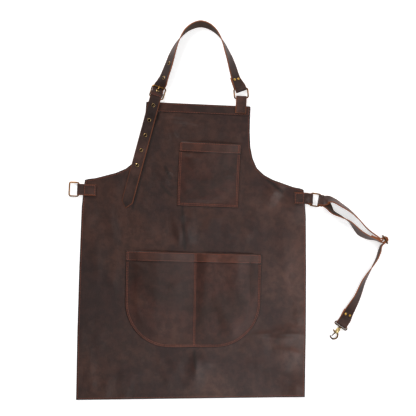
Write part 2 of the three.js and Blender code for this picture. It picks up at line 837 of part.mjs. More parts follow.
function eyelet() {
  const inner = eyeletHole / 2;
  const barrel = inner + eyeletWall;
  const top = strapLeather / 2 + gap;
  return turned([
    [inner, -strapLeather / 2], [barrel, -strapLeather / 2], [barrel, top], [eyeletFlange / 2, top],
    [eyeletFlange / 2 - 1, top + eyeletFlangeHeight], [inner, top + eyeletFlangeHeight],
    [inner, -strapLeather / 2],
  ], 10);
}

function rivet(layers) {
  const top = strapLeather / 2 + gap;
  const foot = top - layers * (strapLeather + gap);
  return turned([
    [0, foot], [rivetShank / 2, foot], [rivetShank / 2, top], [rivetHead / 2, top],
    [rivetHead / 2 * 0.8, top + rivetHeadHeight * 0.7], [0, top + rivetHeadHeight],
  ], 12);
}

const neckPlaces = neckStrapPlaces();
const eyeletsFromTip = [];
for (let i = -eyeletsAboveBib; i < eyeletsOnTail; i += 1) {
  eyeletsFromTip.push(tailLength - firstTailEyelet - eyeletPitch * i);
}
const neckFromRing = [...neckPlaces].reverse();
const neckRivetPlace = placeAt(neckFromRing, rivetsFromFold);

// The strap is folded round the ring and riveted, pointed at its tail and punched for its eyelets
function neckStrap() {
  const folded = foldBack(neckFromRing, strapLeather, ringWire, neckFoldLength,
    2 * neckEndSlack + ringWire, 11);
  let solid = solidOf(ribbon([...neckPlaces, ...folded], strapWidth, strapLeather));
  for (const sideways of [-1, 1]) {
    const corner = new THREE.Shape([
      new THREE.Vector2(0, 0), new THREE.Vector2(sideways * strapWidth, tailPoint * 2),
      new THREE.Vector2(sideways * strapWidth, -tailPoint), new THREE.Vector2(0, -tailPoint),
    ]);
    const cut = new THREE.ExtrudeGeometry(corner, { depth: 4 * strapLeather, bevelEnabled: false });
    cut.translate(0, 0, -2 * strapLeather).applyMatrix4(axes(
      neckPlaces[0].middle, neckPlaces[0].side.clone().negate(), neckPlaces[0].grain));
    solid = solid.subtract(solidOf(cut));
  }
  for (const distance of eyeletsFromTip) {
    const place = placeAt(neckPlaces, distance);
    const hole = onPlace(drill(eyeletHole / 2 + eyeletWall + gap, strapLeather), place);
    const seat = drill(eyeletFlange / 2 + gap, strapLeather).translate(0, 0, 1.5 * strapLeather + gap / 2);
    solid = solid.subtract(solidOf(hole)).subtract(solidOf(onPlace(seat, place)));
  }
  return geometryOf(punchRivets(solid, neckRivetPlace));
}

// The prong turns on the heel bar, lies under the strap and comes up through an eyelet onto the top bar
const prongRadius = buckleWire / 2 + gap + prongWire / 2;
const prongEyelet = placeAt(neckPlaces, eyeletsFromTip[eyeletsAboveBib - 1]);
const overTopBar = topBarHeight + buckleWire / 2 + gap + prongWire / 2;

function bucklePoint(outward, height, beside = 0) {
  return solidPoint(heel.clone().addScaledVector(buckleWay, outward), height).addScaledVector(buckleSide, beside);
}

function bucklePart(geometry) {
  return geometry.applyMatrix4(axes(solidPoint(heel, heelHeight), solidPoint(buckleWay, 0), UP));
}

function wireAlong(points, wire, steps) {
  const section = new THREE.Shape();
  section.absarc(0, 0, wire / 2, 0, 2 * Math.PI, false);
  const path = new THREE.CatmullRomCurve3(points, false, 'centripetal');
  return new THREE.ExtrudeGeometry(section, { steps, extrudePath: path, curveSegments: 3, bevelEnabled: false });
}

function bucklePronged() {
  const eye = bucklePart(new THREE.TorusGeometry(prongRadius, prongWire / 2, 6, 12).rotateX(Math.PI / 2));
  const shank = wireAlong([
    bucklePoint(0.8 * prongRadius, heelHeight), bucklePoint(0.3 * buckleSpan, heelHeight),
    bucklePoint(0.52 * buckleSpan, heelHeight),
    prongEyelet.middle.clone().addScaledVector(prongEyelet.grain, -0.9 * strapLeather),
    prongEyelet.middle.clone().addScaledVector(prongEyelet.grain, 0.9 * strapLeather),
    bucklePoint(0.97 * buckleSpan, overTopBar), bucklePoint(buckleSpan + buckleWire, overTopBar),
  ], prongWire, 12);
  return geometryOf(solidOf(eye).add(solidOf(shank)));
}

function box(length, width, height) {
  return new THREE.BoxGeometry(length, width, height);
}

function buckleTab() {
  const slot = bucklePart(box(3 * prongRadius, prongWire + 3 * gap, 6 * prongRadius));
  return geometryOf(solidOf(foldedTab(buckleTabPlaces, buckleTabWidth, buckleWire, buckleReach))
    .subtract(solidOf(slot)));
}

function strapKeeper() {
  const inner = { half: strapWidth / 2 + gap, high: strapLeather / 2 + gap };
  const round = keeperLeather;
  const outline = new THREE.Shape();
  const half = inner.half + keeperLeather;
  const high = inner.high + keeperLeather;
  outline.moveTo(0, -high);
  outline.absarc(half - round, -high + round, round, -Math.PI / 2, 0, false);
  outline.absarc(half - round, high - round, round, 0, Math.PI / 2, false);
  outline.absarc(-half + round, high - round, round, Math.PI / 2, Math.PI, false);
  outline.absarc(-half + round, -high + round, round, Math.PI, 1.5 * Math.PI, false);
  const block = new THREE.ExtrudeGeometry(outline, { depth: keeperHeight, curveSegments: 3, bevelEnabled: false });
  block.translate(0, 0, -keeperHeight / 2);
  const loop = solidOf(block).subtract(solidOf(box(2 * inner.half, 2 * inner.high, 2 * keeperHeight)));
  const middle = bucklePoint(keeperPlace, strapOverHeel);
  const basis = new THREE.Matrix4().makeBasis(buckleSide.clone().negate(), UP, solidPoint(buckleWay, 0));
  return geometryOf(loop).applyMatrix4(basis.setPosition(middle));
}

// The waist strap runs from the slider's middle bar to the right ring, back through the slider and on
// to the hook. Its rows give each station as shares of the way; 'roll' lifts its raised edge.
const nearStrandRows = [
  { across: 0.13, down: -0.03, roll: 48 },
  { across: 0.2, down: -0.01, roll: 60 },
  { across: 0.334, down: 0.12, roll: 67 },
  { across: 0.488, down: 0.3, roll: 78 },
  { across: 0.596, down: 0.473, roll: 88 },
  { across: 0.735, down: 0.73, roll: 90, over: 0.02 * strapWidth },
  { across: 0.874, down: 0.905, roll: 90, over: 0.1 * strapWidth },
];

const farStrandRows = [
  { across: 0.858, down: 0.995, roll: 98, over: 0.1 * strapWidth },
  { across: 0.72, down: 0.925, roll: 111, over: 0.02 * strapWidth },
  { across: 0.612, down: 0.82, roll: 117 },
  { across: 0.535, down: 0.679, roll: 105 },
  { across: 0.458, down: 0.54, roll: 90 },
  { across: 0.334, down: 0.416, roll: 78 },
  { across: 0.19, down: 0.283, roll: 64 },
  { across: 0.125, down: 0.14, roll: 48 },
];

const hookStrandRows = [
  { across: 0.074, down: 0.07, roll: 93, over: 0.08 * strapWidth },
  { across: 0.12, down: 0.135, roll: 101 },
  { across: 0.178, down: 0.218, roll: 97 },
  { across: 0.282, down: 0.312, roll: 90 },
  { across: 0.398, down: 0.406, roll: 78 },
  { across: 0.502, down: 0.5, roll: 70 },
  { across: 0.576, down: 0.594, roll: 63 },
  { across: 0.653, down: 0.688, roll: 55 },
  { across: 0.757, down: 0.782, roll: 41, over: strapLeather },
  { across: 0.861, down: 0.876, roll: 27, over: 1.3 * strapLeather },
];

const strapBend = ringWire / 2 + gap + strapLeather / 2;
const ringStart = new THREE.Vector2(rightFarBar.x, rightFarBar.y);
const slider = ringStart.clone().add(new THREE.Vector2(waistStrapReach, -waistStrapDrop));
const sliderWay = new THREE.Vector2(Math.cos(deg(sliderTurn)), Math.sin(deg(sliderTurn)));
const sliderOut = new THREE.Vector2(-sliderWay.y, sliderWay.x);
const sliderMiddle = sliderBar + gap + strapWidth / 2;
const endBend = sliderBar * Math.SQRT1_2 + gap + strapLeather / 2;
const passBend = endBend + strapLeather + gap;

function sliderStation(along, out) {
  const spot = slider.clone().addScaledVector(sliderWay, along).addScaledVector(sliderOut, out);
  return { x: spot.x, y: spot.y, height: sliderMiddle, roll: 90 };
}

function strandStations(rows, from, reach, drop) {
  return rows.map((row) => ({
    x: from.x + reach * row.across, y: from.y - drop * row.down, roll: row.roll, over: row.over,
  }));
}

function ringStation(side, away) {
  const point = rightFarBar.clone().addScaledVector(rightFace, side * strapBend)
    .addScaledVector(rightOutward, away);
  return { x: point.x, y: point.y, height: point.z, roll: rightRingTip };
}

const farStrand = run([
  sliderStation(endBend, 0), sliderStation(endBend, -7),
  ...strandStations(farStrandRows, ringStart, waistStrapReach, waistStrapDrop),
  ringStation(-1, 10), ringStation(-1, 0),
], -1, strapWidth, strapLeather, 2);

const nearStrand = run([
  ringStation(1, 0), ringStation(1, 10),
  ...strandStations(nearStrandRows, ringStart, waistStrapReach, waistStrapDrop),
  sliderStation(-passBend, -7), sliderStation(-passBend, 0),
], 1, strapWidth, strapLeather, 2);

// The swivel's eye bar in the strap's end
const hookWay = new THREE.Vector2(-Math.sin(deg(hookTurn)), -Math.cos(deg(hookTurn)));
const hookStart = slider.clone().add(new THREE.Vector2(-hookEndReach, -hookEndDrop));
const hookHeight = hookBarrel / 2 + gap;
const eyeBend = eyeWire / 2 + gap + strapLeather / 2;

function hookStation(back, height, roll) {
  const spot = hookStart.clone().addScaledVector(hookWay, -back);
  return { x: spot.x, y: spot.y, height, roll };
}

const hookStrand = run([
  sliderStation(passBend, 0), sliderStation(passBend, -5),
  ...strandStations(hookStrandRows, slider, -hookEndReach, hookEndDrop),
  hookStation(16, hookHeight + 0.8 * eyeBend, 8), hookStation(5, hookHeight + eyeBend, 0),
  hookStation(0, hookHeight + eyeBend, 0),
], 1, strapWidth, strapLeather, 2);

const hookFromFold = [...hookStrand].reverse();
const hookRivetPlace = placeAt(hookFromFold, rivetsFromFold);

function waistStrap() {
  const sliderFold = foldBack(farStrand, strapLeather, 2 * (endBend - gap - strapLeather / 2),
    sliderFoldLength, 3, 12).reverse();
  const ringTurn = halfTurn(farStrand[farStrand.length - 1], rightOutward.clone().negate(), strapBend, 6);
  const sliderTurned = halfTurn(nearStrand[nearStrand.length - 1], solidPoint(sliderOut, 0), passBend, 6);
  const hookFold = foldBack(hookFromFold, strapLeather, eyeWire, hookFoldLength, 4, 11);
  const solid = solidOf(ribbon([
    ...sliderFold, ...farStrand, ...ringTurn, ...nearStrand, ...sliderTurned, ...hookStrand, ...hookFold,
  ], strapWidth, strapLeather));
  return geometryOf(punchRivets(solid, hookRivetPlace));
}

// The slider stands on edge: a plate with two windows, one on each side of its middle bar
function waistSlider() {
  const length = 2 * sliderBarSpacing + sliderBar;
  const height = strapWidth + 2 * gap + 2 * sliderBar;
  const plate = new THREE.Shape([
    new THREE.Vector2(-length / 2, 0), new THREE.Vector2(length / 2, 0),
    new THREE.Vector2(length / 2, height), new THREE.Vector2(-length / 2, height),
  ]);
  const block = new THREE.ExtrudeGeometry(plate, { depth: sliderBar, bevelEnabled: false });
  let solid = solidOf(block.translate(0, 0, -sliderBar / 2));
  for (const side of [-1, 1]) {
    const window = box(sliderBarSpacing - sliderBar, height - 2 * sliderBar, 2 * sliderBar)
      .translate(side * sliderBarSpacing / 2, height / 2, 0);
    solid = solid.subtract(solidOf(window));
  }
  const face = new THREE.Vector3().crossVectors(solidPoint(sliderWay, 0), UP);
  const basis = new THREE.Matrix4().makeBasis(solidPoint(sliderWay, 0), UP, face);
  return geometryOf(solid).applyMatrix4(basis.setPosition(solidPoint(slider, 0)));
}

// The swivel hook, along x from its eye bar, with y across its flat side
const eyeSpan = eyeWire + strapLeather + 3 * gap;
const collarEnd = eyeSpan + eyeWire;
const neckEnd = collarEnd + swivelPin;
const headLength = 2.2;
const barrelEnd = 0.57 * hookLength;

function onHook(geometry) {
  return geometry.applyMatrix4(axes(solidPoint(hookStart, hookHeight), solidPoint(hookWay, 0), UP));
}

function turnedAlong(profile, segments) {
  const geometry = new THREE.LatheGeometry(profile.map(([radius, along]) => new THREE.Vector2(radius, along)),
    segments);
  return bare(geometry).rotateZ(-Math.PI / 2);
}

function swivelEye() {
  const eye = ringGeometry(eyeSpan + eyeWire, eyeWindow, eyeWire, eyeSpan / 2 - gap).translate(eyeSpan / 2, 0, 0);
  const pin = turnedAlong([
    [0, eyeSpan], [hookBarrel * 0.38, eyeSpan], [hookBarrel * 0.38, collarEnd],
    [swivelPin / 2, collarEnd], [swivelPin / 2, neckEnd + gap], [swivelHead / 2, neckEnd + gap],
    [swivelHead / 2, neckEnd + gap + headLength], [0, neckEnd + gap + headLength],
  ], 14);
  return onHook(geometryOf(solidOf(eye).add(solidOf(pin))));
}

const leverPivot = { along: 0.56 * hookLength, beside: -0.3 * hookHalfWidth };
const leverBoss = 2.7;
const pivotPin = 1.2;

const hookArm = [
  { along: 0.5, beside: 0.25 },
  { along: 0.6, beside: 0.72 },
  { along: 0.72, beside: 0.98 },
  { along: 0.84, beside: 0.86 },
  { along: 0.94, beside: 0.3 },
  { along: 0.955, beside: -0.3 },
  { along: 0.92, beside: -0.8 },
  { along: 0.865, beside: -1.05 },
];

function hookBody() {
  const bore = swivelPin / 2 + gap;
  const room = swivelHead / 2 + gap;
  const roomEnd = neckEnd + headLength + 3 * gap;
  const barrel = turnedAlong([
    [bore, collarEnd + gap], [hookBarrel * 0.42, collarEnd + gap], [hookBarrel / 2, neckEnd],
    [hookBarrel / 2, barrelEnd], [hookBarrel * 0.3, barrelEnd + 2], [0, barrelEnd + 2], [0, roomEnd],
    [room, roomEnd], [room, neckEnd], [bore, neckEnd], [bore, collarEnd + gap],
  ], 14);
  const arm = wireAlong(hookArm.map((row) => new THREE.Vector3(
    row.along * hookLength, row.beside * hookHalfWidth, 0)), hookWire, 22);
  const slot = box(2 * leverBoss + 2 * gap + 4, hookBarrel, leverThickness + 2 * gap)
    .translate(leverPivot.along + 2, leverPivot.beside - hookBarrel / 2 + leverBoss + 2 * gap, 0);
  const pin = new THREE.CylinderGeometry(pivotPin, pivotPin, hookBarrel * 0.7, 10).rotateX(Math.PI / 2)
    .translate(leverPivot.along, leverPivot.beside, 0);
  return onHook(geometryOf(solidOf(barrel).add(solidOf(arm)).subtract(solidOf(slot)).add(solidOf(pin))));
}

// The lever: a gate that closes the hook's mouth, a round boss on the pin and a thumb piece
function hookLever() {
  const shape = new THREE.Shape();
  const gateEnd = { along: 0.85 * hookLength, beside: -0.6 * hookHalfWidth };
  const thumb = { along: 0.49 * hookLength, beside: -1.25 * hookHalfWidth };
  shape.moveTo(leverPivot.along + 1.6, leverPivot.beside + 2);
  shape.lineTo(gateEnd.along, gateEnd.beside + 1.3);
  shape.lineTo(gateEnd.along, gateEnd.beside - 1);
  shape.lineTo(leverPivot.along + 2.2, leverPivot.beside - 1.6);
  shape.lineTo(thumb.along + 3.6, thumb.beside + 1);
  shape.lineTo(thumb.along + 1.2, thumb.beside - 0.6);
  shape.lineTo(thumb.along - 1, thumb.beside + 0.6);
  shape.lineTo(leverPivot.along - 2.4, leverPivot.beside - 1);
  shape.lineTo(leverPivot.along - 1.8, leverPivot.beside + 1.8);
  const plate = new THREE.ExtrudeGeometry(shape, { depth: leverThickness, bevelEnabled: false });
  const hole = new THREE.CylinderGeometry(pivotPin + gap, pivotPin + gap, 2 * leverThickness, 12)
    .rotateX(Math.PI / 2).translate(leverPivot.along, leverPivot.beside, 0);
  return onHook(geometryOf(solidOf(plate.translate(0, 0, -leverThickness / 2)).subtract(solidOf(hole))));
}

piece('apron_panel', apronPanel(), 'panel');
piece('bib_band', bibBand(), 'band');
piece('chest_pocket', chestPocket(), 'pocket');
piece('chest_pocket_band', chestPocketBand(), 'band');
piece('hip_pocket', hipPocket(), 'pocket');
piece('hip_pocket_band', hipPocketBand(), 'band');
piece('left_tab', foldedTab(leftTabPlaces, waistTabWidth, ringWire, leftTabReach), 'strap');
piece('left_ring', ringPlaced(leftBarPoint, leftOutward, leftFace), 'brass');
piece('right_tab', foldedTab(rightTabPlaces, waistTabWidth, ringWire, rightTabReach, rightTabSlack), 'strap');
piece('right_ring', ringPlaced(rightBarPoint, rightOutward, rightFace), 'brass');
piece('neck_tab', foldedTab(neckTabPlaces, neckTabWidth, ringWire, neckTabReach, neckTabSlack), 'strap');
piece('neck_ring', ringPlaced(solidPoint(neckBar, neckRingHeight), solidPoint(neckRingWay, 0), UP), 'brass');
piece('buckle_tab', buckleTab(), 'strap');
piece('buckle_frame', buckleFrame(), 'brass');
piece('buckle_prong', bucklePronged(), 'brass');
piece('strap_keeper', strapKeeper(), 'strap');
piece('neck_strap', neckStrap(), 'strap');
eyeletsFromTip.forEach((distance, index) => {
  piece(`eyelet_${index + 1}`, onPlace(eyelet(), placeAt(neckPlaces, distance)), 'brass');
});
[-1, 1].forEach((side, index) => {
  const beside = side * rivetSpacing / 2;
  piece(`neck_rivet_${index + 1}`, onPlace(rivet(2), neckRivetPlace, beside), 'bright');
  piece(`hook_rivet_${index + 1}`, onPlace(rivet(2), hookRivetPlace, beside), 'bright');
});
piece('waist_strap', waistStrap(), 'strap');
piece('waist_slider', waistSlider(), 'brass');
piece('swivel_eye', swivelEye(), 'brass');
piece('hook_body', hookBody(), 'bright');
piece('hook_lever', hookLever(), 'brass');

export default parts;
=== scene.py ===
"""Dresses the leather work apron: fine leather sheets and straps, stitching and antique brass hardware."""

import math

import bmesh
import bpy
from bpy.props import FloatProperty, FloatVectorProperty, PointerProperty
from mathutils import Matrix, Vector, noise


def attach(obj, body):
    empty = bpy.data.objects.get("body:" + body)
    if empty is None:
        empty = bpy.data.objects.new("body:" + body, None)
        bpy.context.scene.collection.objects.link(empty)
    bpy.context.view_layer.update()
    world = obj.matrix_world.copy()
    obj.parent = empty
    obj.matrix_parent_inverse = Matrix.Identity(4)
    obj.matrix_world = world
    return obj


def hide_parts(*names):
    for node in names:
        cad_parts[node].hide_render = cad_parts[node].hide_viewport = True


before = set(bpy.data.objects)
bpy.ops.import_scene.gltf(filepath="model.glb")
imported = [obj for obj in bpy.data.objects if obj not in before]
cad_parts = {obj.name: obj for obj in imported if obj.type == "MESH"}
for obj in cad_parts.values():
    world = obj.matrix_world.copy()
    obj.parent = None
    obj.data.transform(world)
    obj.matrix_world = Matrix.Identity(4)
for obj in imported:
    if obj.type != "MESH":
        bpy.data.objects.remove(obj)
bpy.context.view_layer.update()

bl_info = {
    "name": "Leather work apron",
    "version": (1, 0, 0),
    "blender": (4, 5, 0),
    "location": "View3D > Sidebar > Apron",
    "description": "Models the leather, stitching and hardware of a work apron around its packed frame",
    "category": "Object",
}

MM = 0.001
UP = Vector((0, 0, 1))

# Leather and clearances, in millimetres, as in the solids
PANEL_LEATHER = 1.8
POCKET_LEATHER = 1.5
BAND_LEATHER = 1.5
TAB_LEATHER = 2
STRAP_LEATHER = 2.8
STRAP_WIDTH = 30
GAP = 0.35

# The cut front, its bands and pockets
BIB_TOP_WIDTH = 276
BIB_LENGTH = 212
WAIST_WIDTH = 579
SKIRT_LENGTH = 568
HEM_WIDTH = 606
WAIST_ABOVE_ORIGIN = 190
BIB_BAND_HEIGHT = 25
CHEST_WIDTH = 164
CHEST_DEPTH = 170
CHEST_TOP = 111
CHEST_OFFSET = 37
CHEST_SWELL = 11
HIP_WIDTH = 360
HIP_DEPTH = 252
HIP_TOP = -181
HIP_OFFSET = 2
HIP_CORNER = 120
HIP_DIVIDER = 5
HIP_SWELL = 12
POCKET_BAND_HEIGHT = 26
SEAM_WIDTH = 6

# Rings, buckle, keeper and eyelets
RING_WINDOW = 32.5
RING_LENGTH = 29
RING_WIRE = 4
RING_CORNER = 4.5
BUCKLE_INSET = 21
BUCKLE_LEAN = 18
BUCKLE_SHIFT = 0.9
BUCKLE_REACH = 12
BUCKLE_LIFT = 1.4
BUCKLE_LENGTH = 34
BUCKLE_WIRE = 3.6
BUCKLE_WINDOW = 33
BUCKLE_RISE = 2
BUCKLE_TAB_WIDTH = 26
BUCKLE_TAB_SEWN = 22
PRONG_WIRE = 2.4
KEEPER_HEIGHT = 11
KEEPER_LEATHER = 1.5
KEEPER_PLACE = 10.5
EYELET_FLANGE = 10
EYELET_HOLE = 5
EYELET_WALL = 0.5
EYELET_FLANGE_HEIGHT = 0.8
EYELET_PITCH = 41.3
FIRST_TAIL_EYELET = 8
EYELETS_ON_LOOP = 3
EYELETS_ON_TAIL = 5

# Neck strap and tabs
NECK_LOOP_HEIGHT = 172
TAIL_LENGTH = 291
TAIL_LEAN = 15.1
TAIL_POINT = 18
NECK_FOLD_LENGTH = 40
NECK_END_LEAN = 13
NECK_TAB_INSET = 25
NECK_TAB_REACH = 21
NECK_TAB_SEWN = 19
NECK_RING_LEAN = 4
WAIST_TAB_WIDTH = 30
NECK_TAB_WIDTH = 28
WAIST_TAB_SEWN = 33
LEFT_TAB_REACH = 13
LEFT_TAB_DROP = 27
RIGHT_TAB_REACH = 16
RIGHT_TAB_DROP = 25
RIGHT_TAB_SEWN = 27
RIGHT_RING_TIP = 26
RIGHT_RING_LEAN = 7
SIDE_SLOPE = 2.6

# Waist strap, slider and hook
WAIST_STRAP_REACH = 172
WAIST_STRAP_DROP = 103
HOOK_END_REACH = 114
HOOK_END_DROP = 225
SLIDER_BAR = 3.5
SLIDER_TURN = -58.5
SLIDER_FOLD_LENGTH = 43
HOOK_FOLD_LENGTH = 44
RIVET_HEAD = 7
RIVET_HEAD_HEIGHT = 1.8
RIVET_SPACING = 13
RIVETS_FROM_FOLD = 31
HOOK_TURN = 34
EYE_WINDOW = 32.5
EYE_WIRE = 3.5
SWIVEL_PIN = 4
HOOK_BARREL = 10.4
HOOK_WIRE = 4
HOOK_LENGTH = 47
HOOK_HALF_WIDTH = 8.8

# How the apron was laid: up the pattern, sideways shift, slope of the rows in degrees
LAID_ROWS = ((-SKIRT_LENGTH, -6.9, 0.75), (0, 3.3, -2.6), (BIB_LENGTH, 14.2, -2.6))

# Side of the skirt and armhole: share of the length, share of the extra half width
SKIRT_SIDE = ((0, 1), (0.3, 0.98), (0.6, 0.82), (0.87, 0.55), (0.96, 0.2), (1, 0))
ARMHOLE = (
    (0, 1), (0.019, 0.82), (0.05, 0.68), (0.1, 0.454), (0.156, 0.296), (0.2375, 0.165), (0.3575, 0.083),
    (0.5, 0.034), (0.68, 0.012), (0.85, 0.004), (1, 0),
)

# Lifted places of the front: across and up as shares, long, wide, turn in degrees, height
LIFTS = (
    (-0.095, -0.205, 34, 21, -8, 3.2),
    (0.73, -0.02, 30, 20, 35, 3),
    (0.855, -0.7, 42, 20, 88, 2.6),
    (1.02, -0.975, 40, 34, -40, 5),
    (0.03, -0.88, 36, 22, 4, 2.4),
    (1, -0.05, 44, 40, 0, 6),
)
LIFT_FOOT = 0.06
FLAT_BESIDE = 22

# Where the front's fine relief starts and how far it takes to be whole: off pockets, band, tail and waist tabs
POCKET_FADE = (1, 34)
BAND_FADE = (4, 16)
TAIL_FADE = (18, 22)
TAB_FADE = (1, 12)
TAB_BOX_DROP = 26
TAB_BOX_INSET = 8
TAB_BOX_TOP = -6
TAB_BOX_DEPTH = 40
SEAM_FADE = 26

# Waves of the hide and dents of a pocket: lengths across and up, seed, fractal increment, step between octaves
HIDE_WAVES = (80, 100, 3.7, 0.8, 2.1)
HIDE_WAVE_HEIGHT = 2
HIDE_WAVE_SOFTNESS = 0.03
POCKET_WAVES = (46, 60, 8.3, 0.9, 2.2)
POCKET_WAVE_HEIGHT = 0.5

# Creases pressed into the front and the pockets: from and to on the surface, width, height
CREASES = (
    ((-50, 128), (-34, 26), 9, 2.4),
    ((-18, 124), (-6, 30), 15, 3.2),
    ((188, 200), (232, 164), 8, 2.0),
    ((214, 212), (256, 182), 10, 1.6),
    ((132, -206), (294, -210), 5, 2.2),
    ((224, -246), (290, -262), 9, 1.6),
    ((-72, 366), (14, 350), 6, 1.8),
    ((-60, 346), (-34, 302), 6, 2.0),
    ((-96, 228), (-58, 188), 7, 1.8),
    ((-84, 240), (-50, 214), 7, 1.5),
    ((4, -250), (10, -318), 9, 2.4),
    ((16, -262), (44, -300), 16, 1.8),
    ((-222, 130), (-206, 40), 12, 1.5),
    ((-262, 60), (-248, -60), 16, 1.2),
    ((232, 90), (250, -40), 18, 1.5),
    ((-214, -300), (-120, -318), 14, 1.2),
    ((-150, 100), (-92, 60), 15, 1.6),
    ((190, -296), (286, -352), 16, 2.4),
    ((110, 340), (132, 280), 8, 1.4),
)

CHEST_CREASES = (
    ((-28, 263), (14, 257), 6, 1.5),
    ((84, 216), (118, 208), 8, 0.8),
    ((-22, 153), (44, 147), 6, 1.4),
    ((10, 206), (74, 190), 12, 1.2),
    ((-30, 226), (-18, 168), 9, 1.2),
)
HIP_CREASES = (
    ((-170, -16), (-124, -32), 6, 1.0),
    ((-62, -96), (-16, -56), 9, 0.5),
    ((-120, -60), (-80, -130), 16, 0.7),
    ((84, -70), (150, -96), 10, 0.6),
    ((58, -96), (112, -222), 17, 1.8),
    ((124, -130), (160, -196), 13, 0.7),
    ((28, -40), (20, -150), 9, 0.6),
)
# Folds that were pressed sharp, with painted shade along them in the dark rim tint
SHADED_FOLD_LINES = (
    ((-29, 132), (-21, 18)),
    ((198, 202), (236, 170)),
    ((3, -252), (7, -296)),
    ((-74, 236), (-60, 206)),
    ((-84, 186), (-58, 160)),
)

# A pocket mouth over the pocket's width, and how the swell dies away below it
CHEST_FOLDS = ((0, 0), (0.04, 0), (0.2, 0.72), (0.5, 1), (0.8, 0.8), (0.96, 0), (1, 0))
LEFT_HIP_FOLDS = ((0, 0), (0.04, 0), (0.2, 0.7), (0.45, 1), (0.75, 0.7), (0.96, 0), (1, 0))
RIGHT_HIP_FOLDS = ((0, 0), (0.03, 0), (0.12, 0.6), (0.36, 0.62), (0.66, 1), (0.85, 0.55), (0.96, 0), (1, 0))
POCKET_RISE = ((0, 0), (0.05, 0), (0.35, 0.28), (0.7, 0.72), (0.9, 1), (1, 1))

# The neck loop: shares of the way from buckle to ring and of its height, roll, height over the surface
NECK_LOOP_ROWS = (
    (0.0535, 0.117, 38, None), (0.0705, 0.176, 45, None), (0.112, 0.315, 50, None), (0.153, 0.47, 58, None),
    (0.19, 0.594, 70, None), (0.224, 0.687, 80, None), (0.273, 0.785, 92, None), (0.329, 0.874, 104, None),
    (0.409, 0.945, 115, None),
    (0.508, 0.982, 122, None), (0.62, 0.944, 115, None), (0.7, 0.866, 103, None), (0.749, 0.786, 92, None),
    (0.789, 0.698, 82, None), (0.823, 0.592, 72, None), (0.866, 0.455, 60, None), (0.904, 0.302, 49, None),
    (0.93, 0.19, 45, 0.6 * STRAP_LEATHER),
)

# Strands of the waist strap: shares across and down, roll, height over the surface
NEAR_ROWS = (
    (0.13, -0.03, 54, None), (0.2, -0.01, 68, None), (0.334, 0.12, 75, None), (0.488, 0.3, 83, None),
    (0.596, 0.473, 88, None), (0.735, 0.73, 90, 0.02 * STRAP_WIDTH), (0.874, 0.905, 90, 0.1 * STRAP_WIDTH),
)
FAR_ROWS = (
    (0.858, 0.995, 98, 0.1 * STRAP_WIDTH), (0.72, 0.925, 111, 0.02 * STRAP_WIDTH), (0.612, 0.82, 117, None),
    (0.535, 0.679, 107, None), (0.458, 0.54, 95, None), (0.334, 0.416, 84, None), (0.19, 0.283, 72, None),
    (0.125, 0.14, 54, None),
)
HOOK_ROWS = (
    (0.074, 0.07, 93, 0.08 * STRAP_WIDTH), (0.12, 0.135, 101, None), (0.178, 0.218, 97, None),
    (0.282, 0.312, 90, None), (0.398, 0.406, 78, None), (0.502, 0.5, 70, None), (0.576, 0.594, 63, None),
    (0.653, 0.688, 55, None), (0.757, 0.782, 41, STRAP_LEATHER), (0.861, 0.876, 27, 1.3 * STRAP_LEATHER),
)

# The hook's arm: shares of its length and half width
HOOK_ARM = (
    (0.5, 0.25), (0.6, 0.72), (0.72, 0.98), (0.84, 0.86), (0.94, 0.3), (0.955, -0.3), (0.92, -0.8), (0.865, -1.05),
)

# Steps and weights that round a table off, and the share of its length that they reach over
ROUNDING = ((-3, 0.05), (-2, 0.12), (-1, 0.2), (0, 0.26), (1, 0.2), (2, 0.12), (3, 0.05))
ROUNDING_REACH = 0.1


def srgb(code):
    """An sRGB hex colour as the linear colour that Blender keeps."""
    parts = [int(code[i:i + 2], 16) / 255 for i in (0, 2, 4)]
    return tuple(c / 12.92 if c <= 0.04045 else ((c + 0.055) / 1.055) ** 2.4 for c in parts)


def clamp(value):
    return max(0.0, min(1.0, value))


def eased(share):
    share = clamp(share)
    return share * share * (3 - 2 * share)


def look_up(rows, at, column=1):
    row = 0
    while row < len(rows) - 2 and rows[row + 1][0] < at:
        row += 1
    low, high = rows[row], rows[row + 1]
    share = clamp((at - low[0]) / (high[0] - low[0]))
    return low[column] + (high[column] - low[column]) * share


def smooth_look_up(rows, at):
    """As look_up, rounded over the rows, for leather that bends without a corner."""
    reach = min(ROUNDING_REACH, max(0, at), max(0, 1 - at))
    return sum(weight * look_up(rows, at + reach * k / 3) for k, weight in ROUNDING)


def fade(distance, rows):
    start, length = rows
    return clamp((distance - start) / length)


def lay(across, up):
    slope = math.tan(math.radians(look_up(LAID_ROWS, up, 2)))
    return Vector((look_up(LAID_ROWS, up, 1) + across, WAIST_ABOVE_ORIGIN + up + across * slope))


def half_width(up):
    if up < 0:
        return WAIST_WIDTH / 2 + (HEM_WIDTH - WAIST_WIDTH) / 2 * look_up(SKIRT_SIDE, 1 + up / SKIRT_LENGTH)
    return BIB_TOP_WIDTH / 2 + (WAIST_WIDTH - BIB_TOP_WIDTH) / 2 * look_up(ARMHOLE, up / BIB_LENGTH)


def beside_box(across, up, offset, width, top, depth):
    dx = max(0, abs(across - offset) - width / 2)
    dy = max(0, up - top, top - depth - up)
    return math.hypot(dx, dy)


def heading(turn):
    return Vector((math.sin(math.radians(turn)), math.cos(math.radians(turn))))


def from_segment(point, start, end):
    way = end - start
    share = clamp((point - start).dot(way) / way.length_squared)
    return (point - start - way * share).length, share


BUCKLE_EDGE = lay(-BIB_TOP_WIDTH / 2 + BUCKLE_INSET, BIB_LENGTH)
TAIL_TIP = BUCKLE_EDGE - heading(TAIL_LEAN) * TAIL_LENGTH


def creased(spot, rows):
    height = 0
    for start, end, wide, high in rows:
        distance, share = from_segment(spot, Vector(start), Vector(end))
        if distance < 3 * wide:
            height += high * math.exp(-(distance / wide) ** 2) * math.sin(math.pi * (0.08 + 0.84 * share))
    return height


